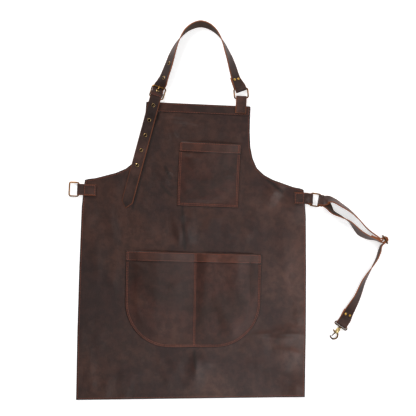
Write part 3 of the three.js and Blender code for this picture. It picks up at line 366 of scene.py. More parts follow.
def waves(x, y, row):
    across, up, seed, increment, step = row
    return noise.fractal(Vector((x / across, y / up, seed)), increment, step, 3)


def lifted(across, up):
    """Height of the front's lifted places."""
    height = 0
    for lift_across, lift_up, long, wide, turn, high in LIFTS:
        dx = across - lift_across * WAIST_WIDTH / 2
        dy = up - lift_up * SKIRT_LENGTH
        turn = math.radians(turn)
        along = (dy * math.cos(turn) + dx * math.sin(turn)) / long
        beside = (dx * math.cos(turn) - dy * math.sin(turn)) / wide
        share = math.exp(-along * along - beside * beside)
        height = max(height, high * (share - LIFT_FOOT) / (1 - LIFT_FOOT))
    return height


def from_corner(beside, height):
    """How far a point of the hip pocket is from the middle of its nearer round corner."""
    return math.hypot(max(0, abs(beside) - (HIP_WIDTH / 2 - HIP_CORNER)), max(0, HIP_CORNER - height))


def relief(across, up):
    """Height of the front over the surface: lifted places, pressed creases and the hide's own waves."""
    chest = beside_box(across, up, CHEST_OFFSET, CHEST_WIDTH, CHEST_TOP, CHEST_DEPTH)
    hip = beside_box(across, up, HIP_OFFSET, HIP_WIDTH, HIP_TOP, HIP_DEPTH)
    height = lifted(across, up) * fade(min(chest, hip), (FLAT_BESIDE, FLAT_BESIDE))
    if up < HIP_TOP - HIP_DEPTH + HIP_CORNER:
        hip = from_corner(across - HIP_OFFSET, up - HIP_TOP + HIP_DEPTH) - HIP_CORNER
    spot = lay(across, up)
    fine = eased(fade(min(chest, hip), POCKET_FADE)) * fade(BIB_LENGTH - BIB_BAND_HEIGHT - up, BAND_FADE)
    fine *= eased(fade(from_segment(spot, TAIL_TIP, BUCKLE_EDGE)[0], TAIL_FADE))
    for side in (-1, 1):
        offset = side * (half_width(-TAB_BOX_DROP) - TAB_BOX_INSET)
        fine *= fade(beside_box(across, up, offset, 2 * WAIST_TAB_SEWN, TAB_BOX_TOP, TAB_BOX_DEPTH), TAB_FADE)
    wave = waves(spot.x, spot.y, HIDE_WAVES)
    raised = (wave + math.sqrt(wave * wave + HIDE_WAVE_SOFTNESS)) / 2
    return height + fine * (creased(spot, CREASES) + HIDE_WAVE_HEIGHT * raised)


def chest_swell(beside, height):
    folds = smooth_look_up(CHEST_FOLDS, beside / CHEST_WIDTH + 0.5)
    return CHEST_SWELL * folds * smooth_look_up(POCKET_RISE, height / CHEST_DEPTH)


def hip_swell(beside, height):
    half = HIP_WIDTH / 2
    if beside < HIP_DIVIDER:
        folds = smooth_look_up(LEFT_HIP_FOLDS, (beside + half) / (half + HIP_DIVIDER))
    else:
        folds = smooth_look_up(RIGHT_HIP_FOLDS, (beside - HIP_DIVIDER) / (half - HIP_DIVIDER))
    edge = fade(HIP_CORNER - from_corner(beside, height), (SEAM_WIDTH, 4 * SEAM_WIDTH))
    return HIP_SWELL * folds * edge * smooth_look_up(POCKET_RISE, height / HIP_DEPTH)


def hip_half_width(height):
    short = max(0, HIP_CORNER - height)
    return HIP_WIDTH / 2 - HIP_CORNER + math.sqrt(HIP_CORNER ** 2 - short ** 2)


def pocket_creases(across, up, rows):
    """Creases and soft dents of a slack pocket."""
    return creased(lay(across, up), rows) + POCKET_WAVE_HEIGHT * waves(across, up, POCKET_WAVES)


POCKET_ON_FRONT = PANEL_LEATHER + GAP + POCKET_LEATHER
BAND_ON_POCKET = POCKET_ON_FRONT + GAP + BAND_LEATHER
BAND_ON_FRONT = PANEL_LEATHER + GAP + BAND_LEATHER


def chest_top(across, up):
    height = up - CHEST_TOP + CHEST_DEPTH
    beside = across - CHEST_OFFSET
    inside = clamp(min(CHEST_WIDTH / 2 - abs(beside), height) / SEAM_FADE)
    return POCKET_ON_FRONT + chest_swell(beside, height) + inside * pocket_creases(across, up, CHEST_CREASES)


def hip_top(across, up):
    height = up - HIP_TOP + HIP_DEPTH
    beside = across - HIP_OFFSET
    seam = min(HIP_WIDTH / 2 - abs(beside), height, abs(beside - HIP_DIVIDER),
               HIP_CORNER - from_corner(beside, height))
    inside = fade(seam, (2, SEAM_FADE))
    return POCKET_ON_FRONT + hip_swell(beside, height) + inside * pocket_creases(across, up, HIP_CREASES)


def panel_top(across, up):
    return PANEL_LEATHER + relief(across, up)


def bib_band_top(across, up):
    return BAND_ON_FRONT


def chest_band_top(across, up):
    return BAND_ON_POCKET + chest_swell(across - CHEST_OFFSET, CHEST_DEPTH)


def hip_band_top(across, up):
    return BAND_ON_POCKET + hip_swell(across - HIP_OFFSET, HIP_DEPTH)


# Straps and tabs: each place has its middle, the way across it and the grain side's way


def slope_at(spans, ways, i):
    if i in (0, len(ways)):
        return ways[min(i, len(ways) - 1)].copy()
    before, after = ways[i - 1], ways[i]
    slope = (before * spans[i] + after * spans[i - 1]) / (spans[i - 1] + spans[i])
    slope.z = 2 * before.z * after.z / (before.z + after.z) if before.z * after.z > 0 else 0
    return slope


def run(stations, hand, width, leather, steps):
    """A smooth run through stations (x, y, roll, height over the surface or None, height of the middle or None)."""
    def half(roll):
        return width / 2 * abs(math.sin(roll)) + leather / 2 * abs(math.cos(roll))

    rolls = [math.radians(station[2]) for station in stations]
    points = []
    for (x, y, _, over, height), roll in zip(stations, rolls):
        base = height - half(roll) if height is not None else GAP if over is None else over
        points.append(Vector((x, y, base)))
    spans = [(b - a).length for a, b in zip(points, points[1:])]
    ways = [(b - a) / span for a, b, span in zip(points, points[1:], spans)]
    slopes = [slope_at(spans, ways, i) for i in range(len(points))]
    middles, turns = [], []
    for k in range(len(spans) * steps + 1):
        i = min(k // steps, len(spans) - 1)
        t = k / steps - i
        middle = points[i].lerp(points[i + 1], eased(t))
        middle += slopes[i] * spans[i] * t * (1 - t) ** 2 - slopes[i + 1] * spans[i] * t * t * (1 - t)
        roll = rolls[i] + (rolls[i + 1] - rolls[i]) * t
        middle.z += half(roll)
        middles.append(middle)
        turns.append(roll)
    places = []
    last = len(middles) - 1
    for k, (middle, roll) in enumerate(zip(middles, turns)):
        onward = middles[min(k + 1, last)] - middles[max(k - 1, 0)]
        if k in (0, last):
            onward = slopes[0 if k == 0 else -1].copy()
        onward.normalize()
        side = Vector((onward.y, -onward.x, 0)).normalized() * hand * math.cos(roll) + UP * math.sin(roll)
        side = (side - onward * side.dot(onward)).normalized()
        places.append((middle, side, side.cross(onward).normalized()))
    return places


TURN_STEPS = 12


def half_turn(place, outward, radius):
    """The places of a strap that turns back round a bar on its flesh side."""
    middle, side, grain = place
    turned = []
    for i in range(1, TURN_STEPS):
        angle = math.pi * i / TURN_STEPS
        way = grain * math.cos(angle) + outward * math.sin(angle)
        turned.append((middle - grain * radius + way * radius, side.copy(), way))
    return turned


def fold_back(places, leather, bar, length, straight, closing):
    """Round a bar at the run's first place and back under the run, which it closes up to after a straight."""
    radius = bar / 2 + GAP + leather / 2
    outward = places[0][0] - places[1][0]
    outward = (outward - places[0][2] * outward.dot(places[0][2])).normalized()
    folded = half_turn(places[0], outward, radius)
    travelled = 0
    for i, (middle, side, grain) in enumerate(places):
        travelled += (middle - places[i - 1][0]).length if i else 0
        if travelled > length:
            break
        share = eased((travelled - straight) / closing)
        offset = 2 * radius + (leather + GAP - 2 * radius) * share
        folded.append((middle - grain * offset, side.copy(), -grain))
    return folded


def place_at(places, distance):
    """The place at a distance along a run."""
    travelled = 0
    for before, after in zip(places, places[1:]):
        step = (after[0] - before[0]).length
        if travelled + step >= distance:
            share = (distance - travelled) / step
            return (before[0].lerp(after[0], share), before[1].lerp(after[1], share).normalized(),
                    before[2].lerp(after[2], share).normalized())
        travelled += step
    return places[-1]


def evenly(places, pitch):
    """The same run with a place every pitch."""
    length = sum((after[0] - before[0]).length for before, after in zip(places, places[1:]))
    count = round(length / pitch)
    return [place_at(places, length * k / count) for k in range(count)] + [places[-1]]


def bar_middle(place, leather, bar):
    return place[0] - place[2] * (bar / 2 + GAP + leather / 2)


def flat(vector, height=0.0):
    return Vector((vector.x, vector.y, height))


def tab_places(bar, inward, height, base, sewn, reach, wire, roll=0.0, slack=0.0):
    """A tab's upper layer from over its bar, at the height given, down to where it is sewn on base."""
    upper = base + 1.5 * TAB_LEATHER + GAP
    bar_top = height + wire / 2 + GAP + TAB_LEATHER / 2
    rows = (
        (-slack, bar_top, roll), (0.25 * reach, bar_top, roll),
        (0.62 * reach, upper + 0.4 * (bar_top - upper), roll * 0.4), (0.92 * reach, upper, 0),
        (reach + 0.5 * sewn, upper, 0), (reach + sewn, upper, 0),
    )
    stations = []
    for at, middle, turn in rows:
        spot = bar + inward * at
        stations.append((spot.x, spot.y, turn, None, middle))
    return run(stations, 1, WAIST_TAB_WIDTH, TAB_LEATHER, 6)


def folded_tab(places, wire, reach, slack=0.0):
    layers = fold_back(places, TAB_LEATHER, wire, 1e6, 0.25 * reach + slack, 0.6 * reach - slack)
    return layers[::-1] + places


RING_SPAN = RING_LENGTH - RING_WIRE
RESTING_BAR = RING_WIRE / 2 + GAP + TAB_LEATHER + GAP
LEFT_INWARD = heading(90 + SIDE_SLOPE)
LEFT_BAR = lay(-half_width(-LEFT_TAB_DROP), -LEFT_TAB_DROP) - LEFT_INWARD * LEFT_TAB_REACH
LEFT_TAB = tab_places(LEFT_BAR, LEFT_INWARD, RESTING_BAR, PANEL_LEATHER + GAP, WAIST_TAB_SEWN, LEFT_TAB_REACH,
                      RING_WIRE)
LEFT_DIP = math.asin((RESTING_BAR - RING_WIRE / 2 - GAP) / RING_SPAN)
LEFT_OUTWARD = flat(LEFT_INWARD) * -math.cos(LEFT_DIP) - UP * math.sin(LEFT_DIP)
LEFT_FACE = LEFT_OUTWARD.cross(Vector((LEFT_INWARD.y, -LEFT_INWARD.x, 0)))


# The right tab stands on the lift of the solid front
RIGHT_BASE = PANEL_LEATHER + lifted(half_width(-RIGHT_TAB_DROP) * 0.95, -RIGHT_TAB_DROP) + 2 * GAP
RIGHT_INWARD = -LEFT_INWARD
RIGHT_BAR = lay(half_width(-RIGHT_TAB_DROP), -RIGHT_TAB_DROP) - RIGHT_INWARD * RIGHT_TAB_REACH
RIGHT_HEIGHT = (RING_WINDOW + RING_WIRE) / 2 * math.sin(math.radians(RIGHT_RING_TIP)) + RING_WIRE / 2 + GAP
RIGHT_SLACK = WAIST_TAB_WIDTH / 2 * math.sin(math.radians(RIGHT_RING_LEAN)) + GAP
RIGHT_TAB = tab_places(RIGHT_BAR, RIGHT_INWARD, RIGHT_HEIGHT, RIGHT_BASE, RIGHT_TAB_SEWN, RIGHT_TAB_REACH,
                       RING_WIRE, -RIGHT_RING_TIP, RIGHT_SLACK)
RIGHT_BAR_POINT = bar_middle(RIGHT_TAB[0], TAB_LEATHER, RING_WIRE) + flat(RIGHT_INWARD) * RIGHT_SLACK
RIGHT_FACE = RIGHT_TAB[0][2].copy()
RIGHT_OUTWARD = Matrix.Rotation(-math.radians(RIGHT_RING_LEAN), 3, RIGHT_FACE) @ -flat(RIGHT_INWARD)
RIGHT_FAR_BAR = RIGHT_BAR_POINT + RIGHT_OUTWARD * RING_SPAN

NECK_ACROSS = BIB_TOP_WIDTH / 2 - NECK_TAB_INSET
BIB_WAY = (lay(NECK_ACROSS, BIB_LENGTH) - lay(NECK_ACROSS, BIB_LENGTH - 1)).normalized()
NECK_BAR = lay(NECK_ACROSS, BIB_LENGTH) + BIB_WAY * NECK_TAB_REACH
NECK_RING_HEIGHT = RING_WIRE / 2 + STRAP_LEATHER + 3 * GAP
NECK_TAB_SLACK = NECK_TAB_WIDTH / 2 * math.sin(math.radians(NECK_RING_LEAN + 3))
NECK_TAB = tab_places(NECK_BAR, -BIB_WAY, NECK_RING_HEIGHT, BAND_ON_FRONT + GAP, NECK_TAB_SEWN, NECK_TAB_REACH,
                      RING_WIRE, 0.0, NECK_TAB_SLACK)
NECK_RING_WAY = heading(-NECK_RING_LEAN)
NECK_TOP_BAR = NECK_BAR + NECK_RING_WAY * RING_SPAN

BUCKLE_WAY = heading(BUCKLE_LEAN)
BUCKLE_SPAN = BUCKLE_LENGTH - BUCKLE_WIRE
HEEL_HEIGHT = BUCKLE_LIFT + BUCKLE_WIRE / 2 + GAP + TAB_LEATHER
TOP_BAR_HEIGHT = HEEL_HEIGHT + BUCKLE_RISE
HEEL = BUCKLE_EDGE + BUCKLE_WAY * BUCKLE_REACH
TOP_BAR = HEEL + BUCKLE_WAY * BUCKLE_SPAN
BUCKLE_TAB = tab_places(HEEL, -BUCKLE_WAY, HEEL_HEIGHT, BAND_ON_FRONT + GAP, BUCKLE_TAB_SEWN, BUCKLE_REACH, BUCKLE_WIRE)
BUCKLE_SIDE = Vector((BUCKLE_WAY.y, -BUCKLE_WAY.x, 0))
BUCKLE_RUN = (flat(TOP_BAR, TOP_BAR_HEIGHT) - flat(HEEL, HEEL_HEIGHT)).normalized()
BUCKLE_FACE = BUCKLE_SIDE.cross(BUCKLE_RUN)

STRAP_ON_FRONT = PANEL_LEATHER + GAP + STRAP_LEATHER / 2
STRAP_ON_TAB = BAND_ON_FRONT + GAP + 2 * TAB_LEATHER + 2 * GAP + STRAP_LEATHER / 2
STRAP_OVER_HEEL = HEEL_HEIGHT + BUCKLE_WIRE / 2 + GAP + TAB_LEATHER + GAP + STRAP_LEATHER / 2
STRAP_UNDER_BAR = STRAP_LEATHER / 2 + 3 * GAP

# The tail inwards from the bib's edge and the strap outwards through the buckle: distance, height
TAIL_ROWS = (
    (TAIL_LENGTH, STRAP_ON_FRONT), (0.8 * TAIL_LENGTH, STRAP_ON_FRONT), (0.6 * TAIL_LENGTH, STRAP_ON_FRONT),
    (0.4 * TAIL_LENGTH, STRAP_ON_FRONT), (BUCKLE_TAB_SEWN + 54, STRAP_ON_FRONT),
    (BUCKLE_TAB_SEWN + 34, 0.85 * STRAP_ON_FRONT + 0.15 * STRAP_ON_TAB),
    (BUCKLE_TAB_SEWN + 18, 0.4 * STRAP_ON_FRONT + 0.6 * STRAP_ON_TAB),
    (BUCKLE_TAB_SEWN + 5, STRAP_ON_TAB), (0.4 * BUCKLE_TAB_SEWN, STRAP_ON_TAB),
)
BUCKLE_ROWS = (
    (0, STRAP_OVER_HEEL), (BUCKLE_REACH, STRAP_OVER_HEEL), (BUCKLE_REACH + 0.53 * BUCKLE_SPAN, STRAP_OVER_HEEL),
    (BUCKLE_REACH + BUCKLE_SPAN, STRAP_UNDER_BAR),
)
# Where the strap leaves the buckle: distance outward, aside, roll
BUCKLE_EXIT = (BUCKLE_REACH + BUCKLE_SPAN + 9, 3.4, 18)
# The strap's last way to the neck ring: back from its end, aside, height over the surface, roll
NECK_END_ROWS = (
    (24, -6.1, 1.7 * STRAP_LEATHER, 37), (13, -3, 2.35 * STRAP_LEATHER, 20), (6, -0.7, 3 * STRAP_LEATHER, 5),
)
NECK_END_SLACK = STRAP_WIDTH / 2 * math.sin(math.radians(NECK_END_LEAN - NECK_RING_LEAN)) + 2 * GAP


def neck_places(steps):
    """The neck strap from the point of its tail through the buckle and over the loop to its ring."""
    stations = []
    for inward, height in TAIL_ROWS:
        spot = BUCKLE_EDGE - heading(TAIL_LEAN) * inward
        stations.append((spot.x, spot.y, 0, None, height))
    for outward, height in BUCKLE_ROWS:
        spot = BUCKLE_EDGE + BUCKLE_WAY * outward
        stations.append((spot.x, spot.y, 0, None, height))
    spot = BUCKLE_EDGE + BUCKLE_WAY * BUCKLE_EXIT[0]
    stations.append((spot.x + BUCKLE_EXIT[1], spot.y, BUCKLE_EXIT[2], None, None))
    for across, up, roll, over in NECK_LOOP_ROWS:
        spot = TOP_BAR.lerp(NECK_TOP_BAR, across)
        stations.append((spot.x, spot.y + NECK_LOOP_HEIGHT * up, roll, over, None))
    end_way = heading(180 - NECK_END_LEAN)
    end = NECK_TOP_BAR + end_way * NECK_END_SLACK
    for back, aside, over, roll in NECK_END_ROWS:
        spot = end - end_way * back
        stations.append((spot.x + aside, spot.y, roll, over, None))
    stations.append((end.x, end.y, 0, None, NECK_RING_HEIGHT + RING_WIRE / 2 + GAP + STRAP_LEATHER / 2))
    return run(stations, 1, STRAP_WIDTH, STRAP_LEATHER, steps)


NECK_PLACES = neck_places(8)
NECK_FROM_RING = NECK_PLACES[::-1]
EYELET_DISTANCES = [
    TAIL_LENGTH - FIRST_TAIL_EYELET - EYELET_PITCH * i for i in range(-EYELETS_ON_LOOP, EYELETS_ON_TAIL)
]

STRAP_BEND = RING_WIRE / 2 + GAP + STRAP_LEATHER / 2
RING_START = Vector((RIGHT_FAR_BAR.x, RIGHT_FAR_BAR.y))
SLIDER = RING_START + Vector((WAIST_STRAP_REACH, -WAIST_STRAP_DROP))
SLIDER_WAY = heading(90 - SLIDER_TURN)
SLIDER_OUT = Vector((-SLIDER_WAY.y, SLIDER_WAY.x))
SLIDER_MIDDLE = SLIDER_BAR + GAP + STRAP_WIDTH / 2
END_BEND = SLIDER_BAR * math.sqrt(0.5) + GAP + STRAP_LEATHER / 2
PASS_BEND = END_BEND + STRAP_LEATHER + GAP
HOOK_WAY = -heading(HOOK_TURN)
HOOK_START = SLIDER + Vector((-HOOK_END_REACH, -HOOK_END_DROP))
HOOK_HEIGHT = HOOK_BARREL / 2 + GAP
EYE_BEND = EYE_WIRE / 2 + GAP + STRAP_LEATHER / 2


def slider_station(along, out):
    spot = SLIDER + SLIDER_WAY * along + SLIDER_OUT * out
    return (spot.x, spot.y, 90, None, SLIDER_MIDDLE)


def ring_station(side, away):
    point = RIGHT_FAR_BAR + RIGHT_FACE * side * STRAP_BEND + RIGHT_OUTWARD * away
    return (point.x, point.y, RIGHT_RING_TIP, None, point.z)


def hook_station(back, height, roll):
    spot = HOOK_START - HOOK_WAY * back
    return (spot.x, spot.y, roll, None, height)


def strand(rows, start, reach, drop):
    return [(start.x + reach * across, start.y - drop * down, roll, over, None) for across, down, roll, over in rows]


FAR_STRAND = run(
    [slider_station(END_BEND, 0), slider_station(END_BEND, -7)]
    + strand(FAR_ROWS, RING_START, WAIST_STRAP_REACH, WAIST_STRAP_DROP)
    + [ring_station(-1, 10), ring_station(-1, 0)], -1, STRAP_WIDTH, STRAP_LEATHER, 8)
NEAR_STRAND = run(
    [ring_station(1, 0), ring_station(1, 10)]
    + strand(NEAR_ROWS, RING_START, WAIST_STRAP_REACH, WAIST_STRAP_DROP)
    + [slider_station(-PASS_BEND, -7), slider_station(-PASS_BEND, 0)], 1, STRAP_WIDTH, STRAP_LEATHER, 8)
HOOK_STRAND = run(
    [slider_station(PASS_BEND, 0), slider_station(PASS_BEND, -5)]
    + strand(HOOK_ROWS, SLIDER, -HOOK_END_REACH, HOOK_END_DROP)
    + [hook_station(16, HOOK_HEIGHT + 0.8 * EYE_BEND, 8), hook_station(5, HOOK_HEIGHT + EYE_BEND, 0),
       hook_station(0, HOOK_HEIGHT + EYE_BEND, 0)], 1, STRAP_WIDTH, STRAP_LEATHER, 8)
HOOK_FROM_FOLD = HOOK_STRAND[::-1]


# Meshes


# The rim value far from any edge; along a line of painted shade it starts at FOLD_RIM and grows by FOLD_SHARE a
# millimetre
RIM_FAR = 10.0
# Less rim tint on one side of a strap, in millimetres: the rust edge colour is real, its weakness on that side is
# painted shade
SHADED_EDGE_OFFSET = 1.2
FOLD_RIM = 0.6
FOLD_SHARE = 0.4
WELD = 1e-6


def welded(bm):
    """Joins a closed form's seam and turns its faces outward."""
    bmesh.ops.remove_doubles(bm, verts=bm.verts, dist=WELD)
    bmesh.ops.recalc_face_normals(bm, faces=bm.faces)
    return bm


def add_object(name, data):
    made = bpy.data.objects.new(name, data)
    bpy.context.collection.objects.link(made)
    return made


def finish_mesh(bm, name, materials, body, nodes=()):
    """Makes the piece: its mesh and materials, the body it rides on and the nodes it replaces."""
    mesh = bpy.data.meshes.new(name)
    bm.to_mesh(mesh)
    bm.free()
    for material in materials:
        mesh.materials.append(MATERIALS[material])
    mesh.polygons.foreach_set("use_smooth", [True] * len(mesh.polygons))
    piece = add_object(name, mesh)
    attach(piece, body)
    if nodes:
        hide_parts(*nodes)
    return piece


def mapped_grid(columns, rows, place, rim=None):
    """A grid whose points go where place sends their shares, in millimetres. rim is each point's way to an edge."""
    bm = bmesh.new()
    bmesh.ops.create_grid(bm, x_segments=columns, y_segments=rows, size=0.5)
    layer = bm.verts.layers.float.new("rim")
    for vert in bm.verts:
        u, v = vert.co.x + 0.5, vert.co.y + 0.5
        vert.co = place(u, v) * MM
        vert[layer] = rim(u, v) if rim else RIM_FAR
    return bm


def thicken(piece, leather, offset, edge=0.35, even=True, pared=False):
    """Gives a sheet its leather: grain in slot 0, flesh side in slot 1, cut edge in slot 2."""
    wall = piece.modifiers.new("leather", "SOLIDIFY")
    wall.thickness = leather * MM
    wall.offset = offset
    wall.use_even_offset = even
    wall.material_offset = 1
    wall.material_offset_rim = 2
    round_off(piece, edge, 50).material = 2 if pared else -1


def round_off(piece, width, angle):
    bevel = piece.modifiers.new("edge", "BEVEL")
    bevel.width = width * MM
    bevel.segments = 2
    bevel.limit_method = "ANGLE"
    bevel.angle_limit = math.radians(angle)
    return bevel


def pattern_sheet(columns, rows, cut, top, folded=()):
    """A sheet in the cut pattern: cut gives (across, up) for shares, top its height there."""
    def place(u, v):
        across, up = cut(u, v)
        return flat(lay(across, up), top(across, up))

    def rim(u, v):
        here = place(u, v)
        ends = (place(0, v), place(1, v), place(u, 0), place(u, 1))
        # Lines in folded lower the rim value, so they take the dark rim tint as painted shade
        folds = [FOLD_RIM + FOLD_SHARE * from_segment(here.xy, Vector(start), Vector(end))[0]
                 for start, end in folded]
        return min([(here - end).length for end in ends] + folds)

    bm = mapped_grid(columns, rows, place, rim)
    bm.normal_update()
    if next(iter(bm.faces)).normal.z < 0:
        bmesh.ops.reverse_faces(bm, faces=bm.faces)
    return bm


def ribbon(name, cad_node, places, width, rows, leather, holes=(), tip=0.0):
    """A strap along its places; holes are the middles of punched holes, tip the length of its point."""
    lengths = [0.0]
    for before, after in zip(places, places[1:]):
        lengths.append(lengths[-1] + (after[0] - before[0]).length)
    count = len(places) - 1

    def here(u):
        i = round(u * count)
        return places[i], width * (clamp(0.04 + lengths[i] / tip) if tip else 1)

    def place(u, v):
        (middle, side, _), broad = here(u)
        return middle + side * (0.5 - v) * broad

    # Rust rim tint on both edges of a strap, weaker on one: painted shade along that edge
    bm = mapped_grid(count, rows, place, lambda u, v: min(here(u)[1] * v, here(u)[1] * (1 - v) + SHADED_EDGE_OFFSET))
    reach = EYELET_HOLE / 2 + EYELET_WALL
    doomed = [face for face in bm.faces
              if any((face.calc_center_median() / MM - hole).length < reach for hole in holes)]
    bmesh.ops.delete(bm, geom=doomed, context="FACES")
    bm.normal_update()
    middle, _, grain = places[count // 3]
    nearest = min(bm.faces, key=lambda face: (face.calc_center_median() / MM - middle).length)
    if nearest.normal.dot(grain) < 0:
        bmesh.ops.reverse_faces(bm, faces=bm.faces)
    thicken(finish_mesh(bm, name, ("strap", "flesh", "cut"), "apron", [cad_node]), leather, 0, 0.7,
            even=False, pared=True)


def tube(points, radius, face, segments, closed=True, taper=None):
    """A round wire through points. face is the way square to its bends."""
    count = len(points) - (0 if closed else 1)

    def place(u, v):
        i = round(u * count)
        here = points[i % len(points)]
        before = points[(i - 1) % len(points)] if closed or i > 0 else here
        after = points[(i + 1) % len(points)] if closed or i < count else here
        onward = (after - before).normalized()
        out = onward.cross(face).normalized()
        high = out.cross(onward).normalized()
        angle = 2 * math.pi * v
        size = radius * (taper(u) if taper else 1)
        return here + (out * math.cos(angle) + high * math.sin(angle)) * size

    bm = mapped_grid(count, segments, place)
    bmesh.ops.remove_doubles(bm, verts=bm.verts, dist=WELD)
    if not closed:
        bmesh.ops.holes_fill(bm, edges=[edge for edge in bm.edges if edge.is_boundary], sides=0)
    return welded(bm)


def turned(profile, segments):
    """A turned piece about Z from (radius, height) pairs in millimetres, closed on itself or at the axis."""
    bm = bmesh.new()
    points = [bm.verts.new(Vector((radius, 0, height)) * MM) for radius, height in profile]
    edges = [bm.edges.new(pair) for pair in zip(points, points[1:])]
    bmesh.ops.spin(bm, geom=points + edges, axis=(0, 0, 1), cent=(0, 0, 0), dvec=(0, 0, 0), angle=2 * math.pi,
                   steps=segments, use_merge=True, use_duplicate=False)
    return welded(bm)


def axes(origin, x, z):
    """A frame whose x runs the way given and whose z is nearest to the face's way. Its origin is in millimetres."""
    x = x.normalized()
    y = z.cross(x).normalized()
    matrix = Matrix((x, y, x.cross(y))).transposed().to_4x4()
    matrix.translation = origin * MM
    return matrix


LONG_STRAIGHT = 8


def round_cornered(length, width, corner, steps=6):
    """Points round a rectangle whose corners are round."""
    points = []
    for x, y, start in ((1, 1, 0), (-1, 1, 90), (-1, -1, 180), (1, -1, 270)):
        for step in range(steps + 1):
            angle = math.radians(start + 90 * step / steps)
            points.append(Vector((x * (length / 2 - corner) + corner * math.cos(angle),
                                  y * (width / 2 - corner) + corner * math.sin(angle), 0)))
    return points


def wire_loop(length, width, corner, wire, segments):
    """A round wire bent to a closed frame. length and width are its middle line's, x and y."""
    points = round_cornered(length, width, corner)
    full = []
    for point, after in zip(points, points[1:] + points[:1]):
        full.append(point)
        if (after - point).length > LONG_STRAIGHT:
            full.extend(point.lerp(after, k / 4) for k in (1, 2, 3))
    return tube(full, wire / 2, UP, segments)


def make_frame(name, cad_node, middle, way, face, body="apron", material="ring",
               length=RING_LENGTH, window=RING_WINDOW, wire=RING_WIRE):
    """A ring or buckle frame about its middle, its length along way and its bars square to that."""
    bm = wire_loop(length - wire, window + wire, RING_CORNER, wire, 14)
    bmesh.ops.transform(bm, matrix=axes(middle, way, face), verts=bm.verts)
    finish_mesh(bm, name, [material], body, [cad_node])


def rounded_copy(cad_node, name, body, edge):
    """A copy of a CAD node's own mesh in bronze, for a piece that only needs rounder edges."""
    bm = bmesh.new()
    bm.from_mesh(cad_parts[cad_node].data)
    bmesh.ops.remove_doubles(bm, verts=bm.verts, dist=WELD)
    bmesh.ops.join_triangles(bm, faces=bm.faces, angle_face_threshold=0.02, angle_shape_threshold=3.1)
    piece = finish_mesh(bm, name, ["bronze"], body, [cad_node])
    piece.data.polygons.foreach_set("use_smooth", [False] * len(piece.data.polygons))
    round_off(piece, edge, 35)


# Materials


MATERIALS = {}


def node(tree, kind, inputs=None, stops=(), **settings):
    """Adds a node with its settings and ramp stops. Its inputs are values, sockets, or nodes, which give their
    first open output."""
    made = tree.nodes.new(kind)
    for key, value in settings.items():
        setattr(made, key, value)
    for key, value in (inputs or {}).items():
        if isinstance(value, bpy.types.Node):
            value = next(socket for socket in value.outputs if socket.enabled)
        if isinstance(value, bpy.types.NodeSocket):
            tree.links.new(value, made.inputs[key])
        else:
            made.inputs[key].default_value = value
    elements = made.color_ramp.elements if stops else ()
    while len(elements) < len(stops):
        elements.new(0.5)
    for element, (position, colour) in zip(elements, stops):
        element.position = position
        element.color = (*colour, 1)
    return made


def new_material(name):
    """An empty material, its tree and the Object coordinates in it."""
    material = bpy.data.materials.new(name)
    material.use_nodes = True
    tree = material.node_tree
    tree.nodes.clear()
    return material, tree, node(tree, "ShaderNodeTexCoord").outputs["Object"]


def shaded(material, tree, inputs):
    shader = node(tree, "ShaderNodeBsdfPrincipled", inputs)
    node(tree, "ShaderNodeOutputMaterial", {"Surface": shader})
    return material


def repeats(size):
    """The scale of a pattern whose features are this many millimetres across."""
    return 1 / (size * MM)


def grey(value):
    return (value, value, value)


def tinted(colour, red, green=None, blue=None):
    factors = (red, red if green is None else green, red if blue is None else blue)
    return tuple(part * factor for part, factor in zip(colour, factors))


# The way across the scene in which the leather's tone is painted paler: painted light, brighter towards the lower right
PAINTED_LIGHT_WAY = (0.96, -0.28, 0)


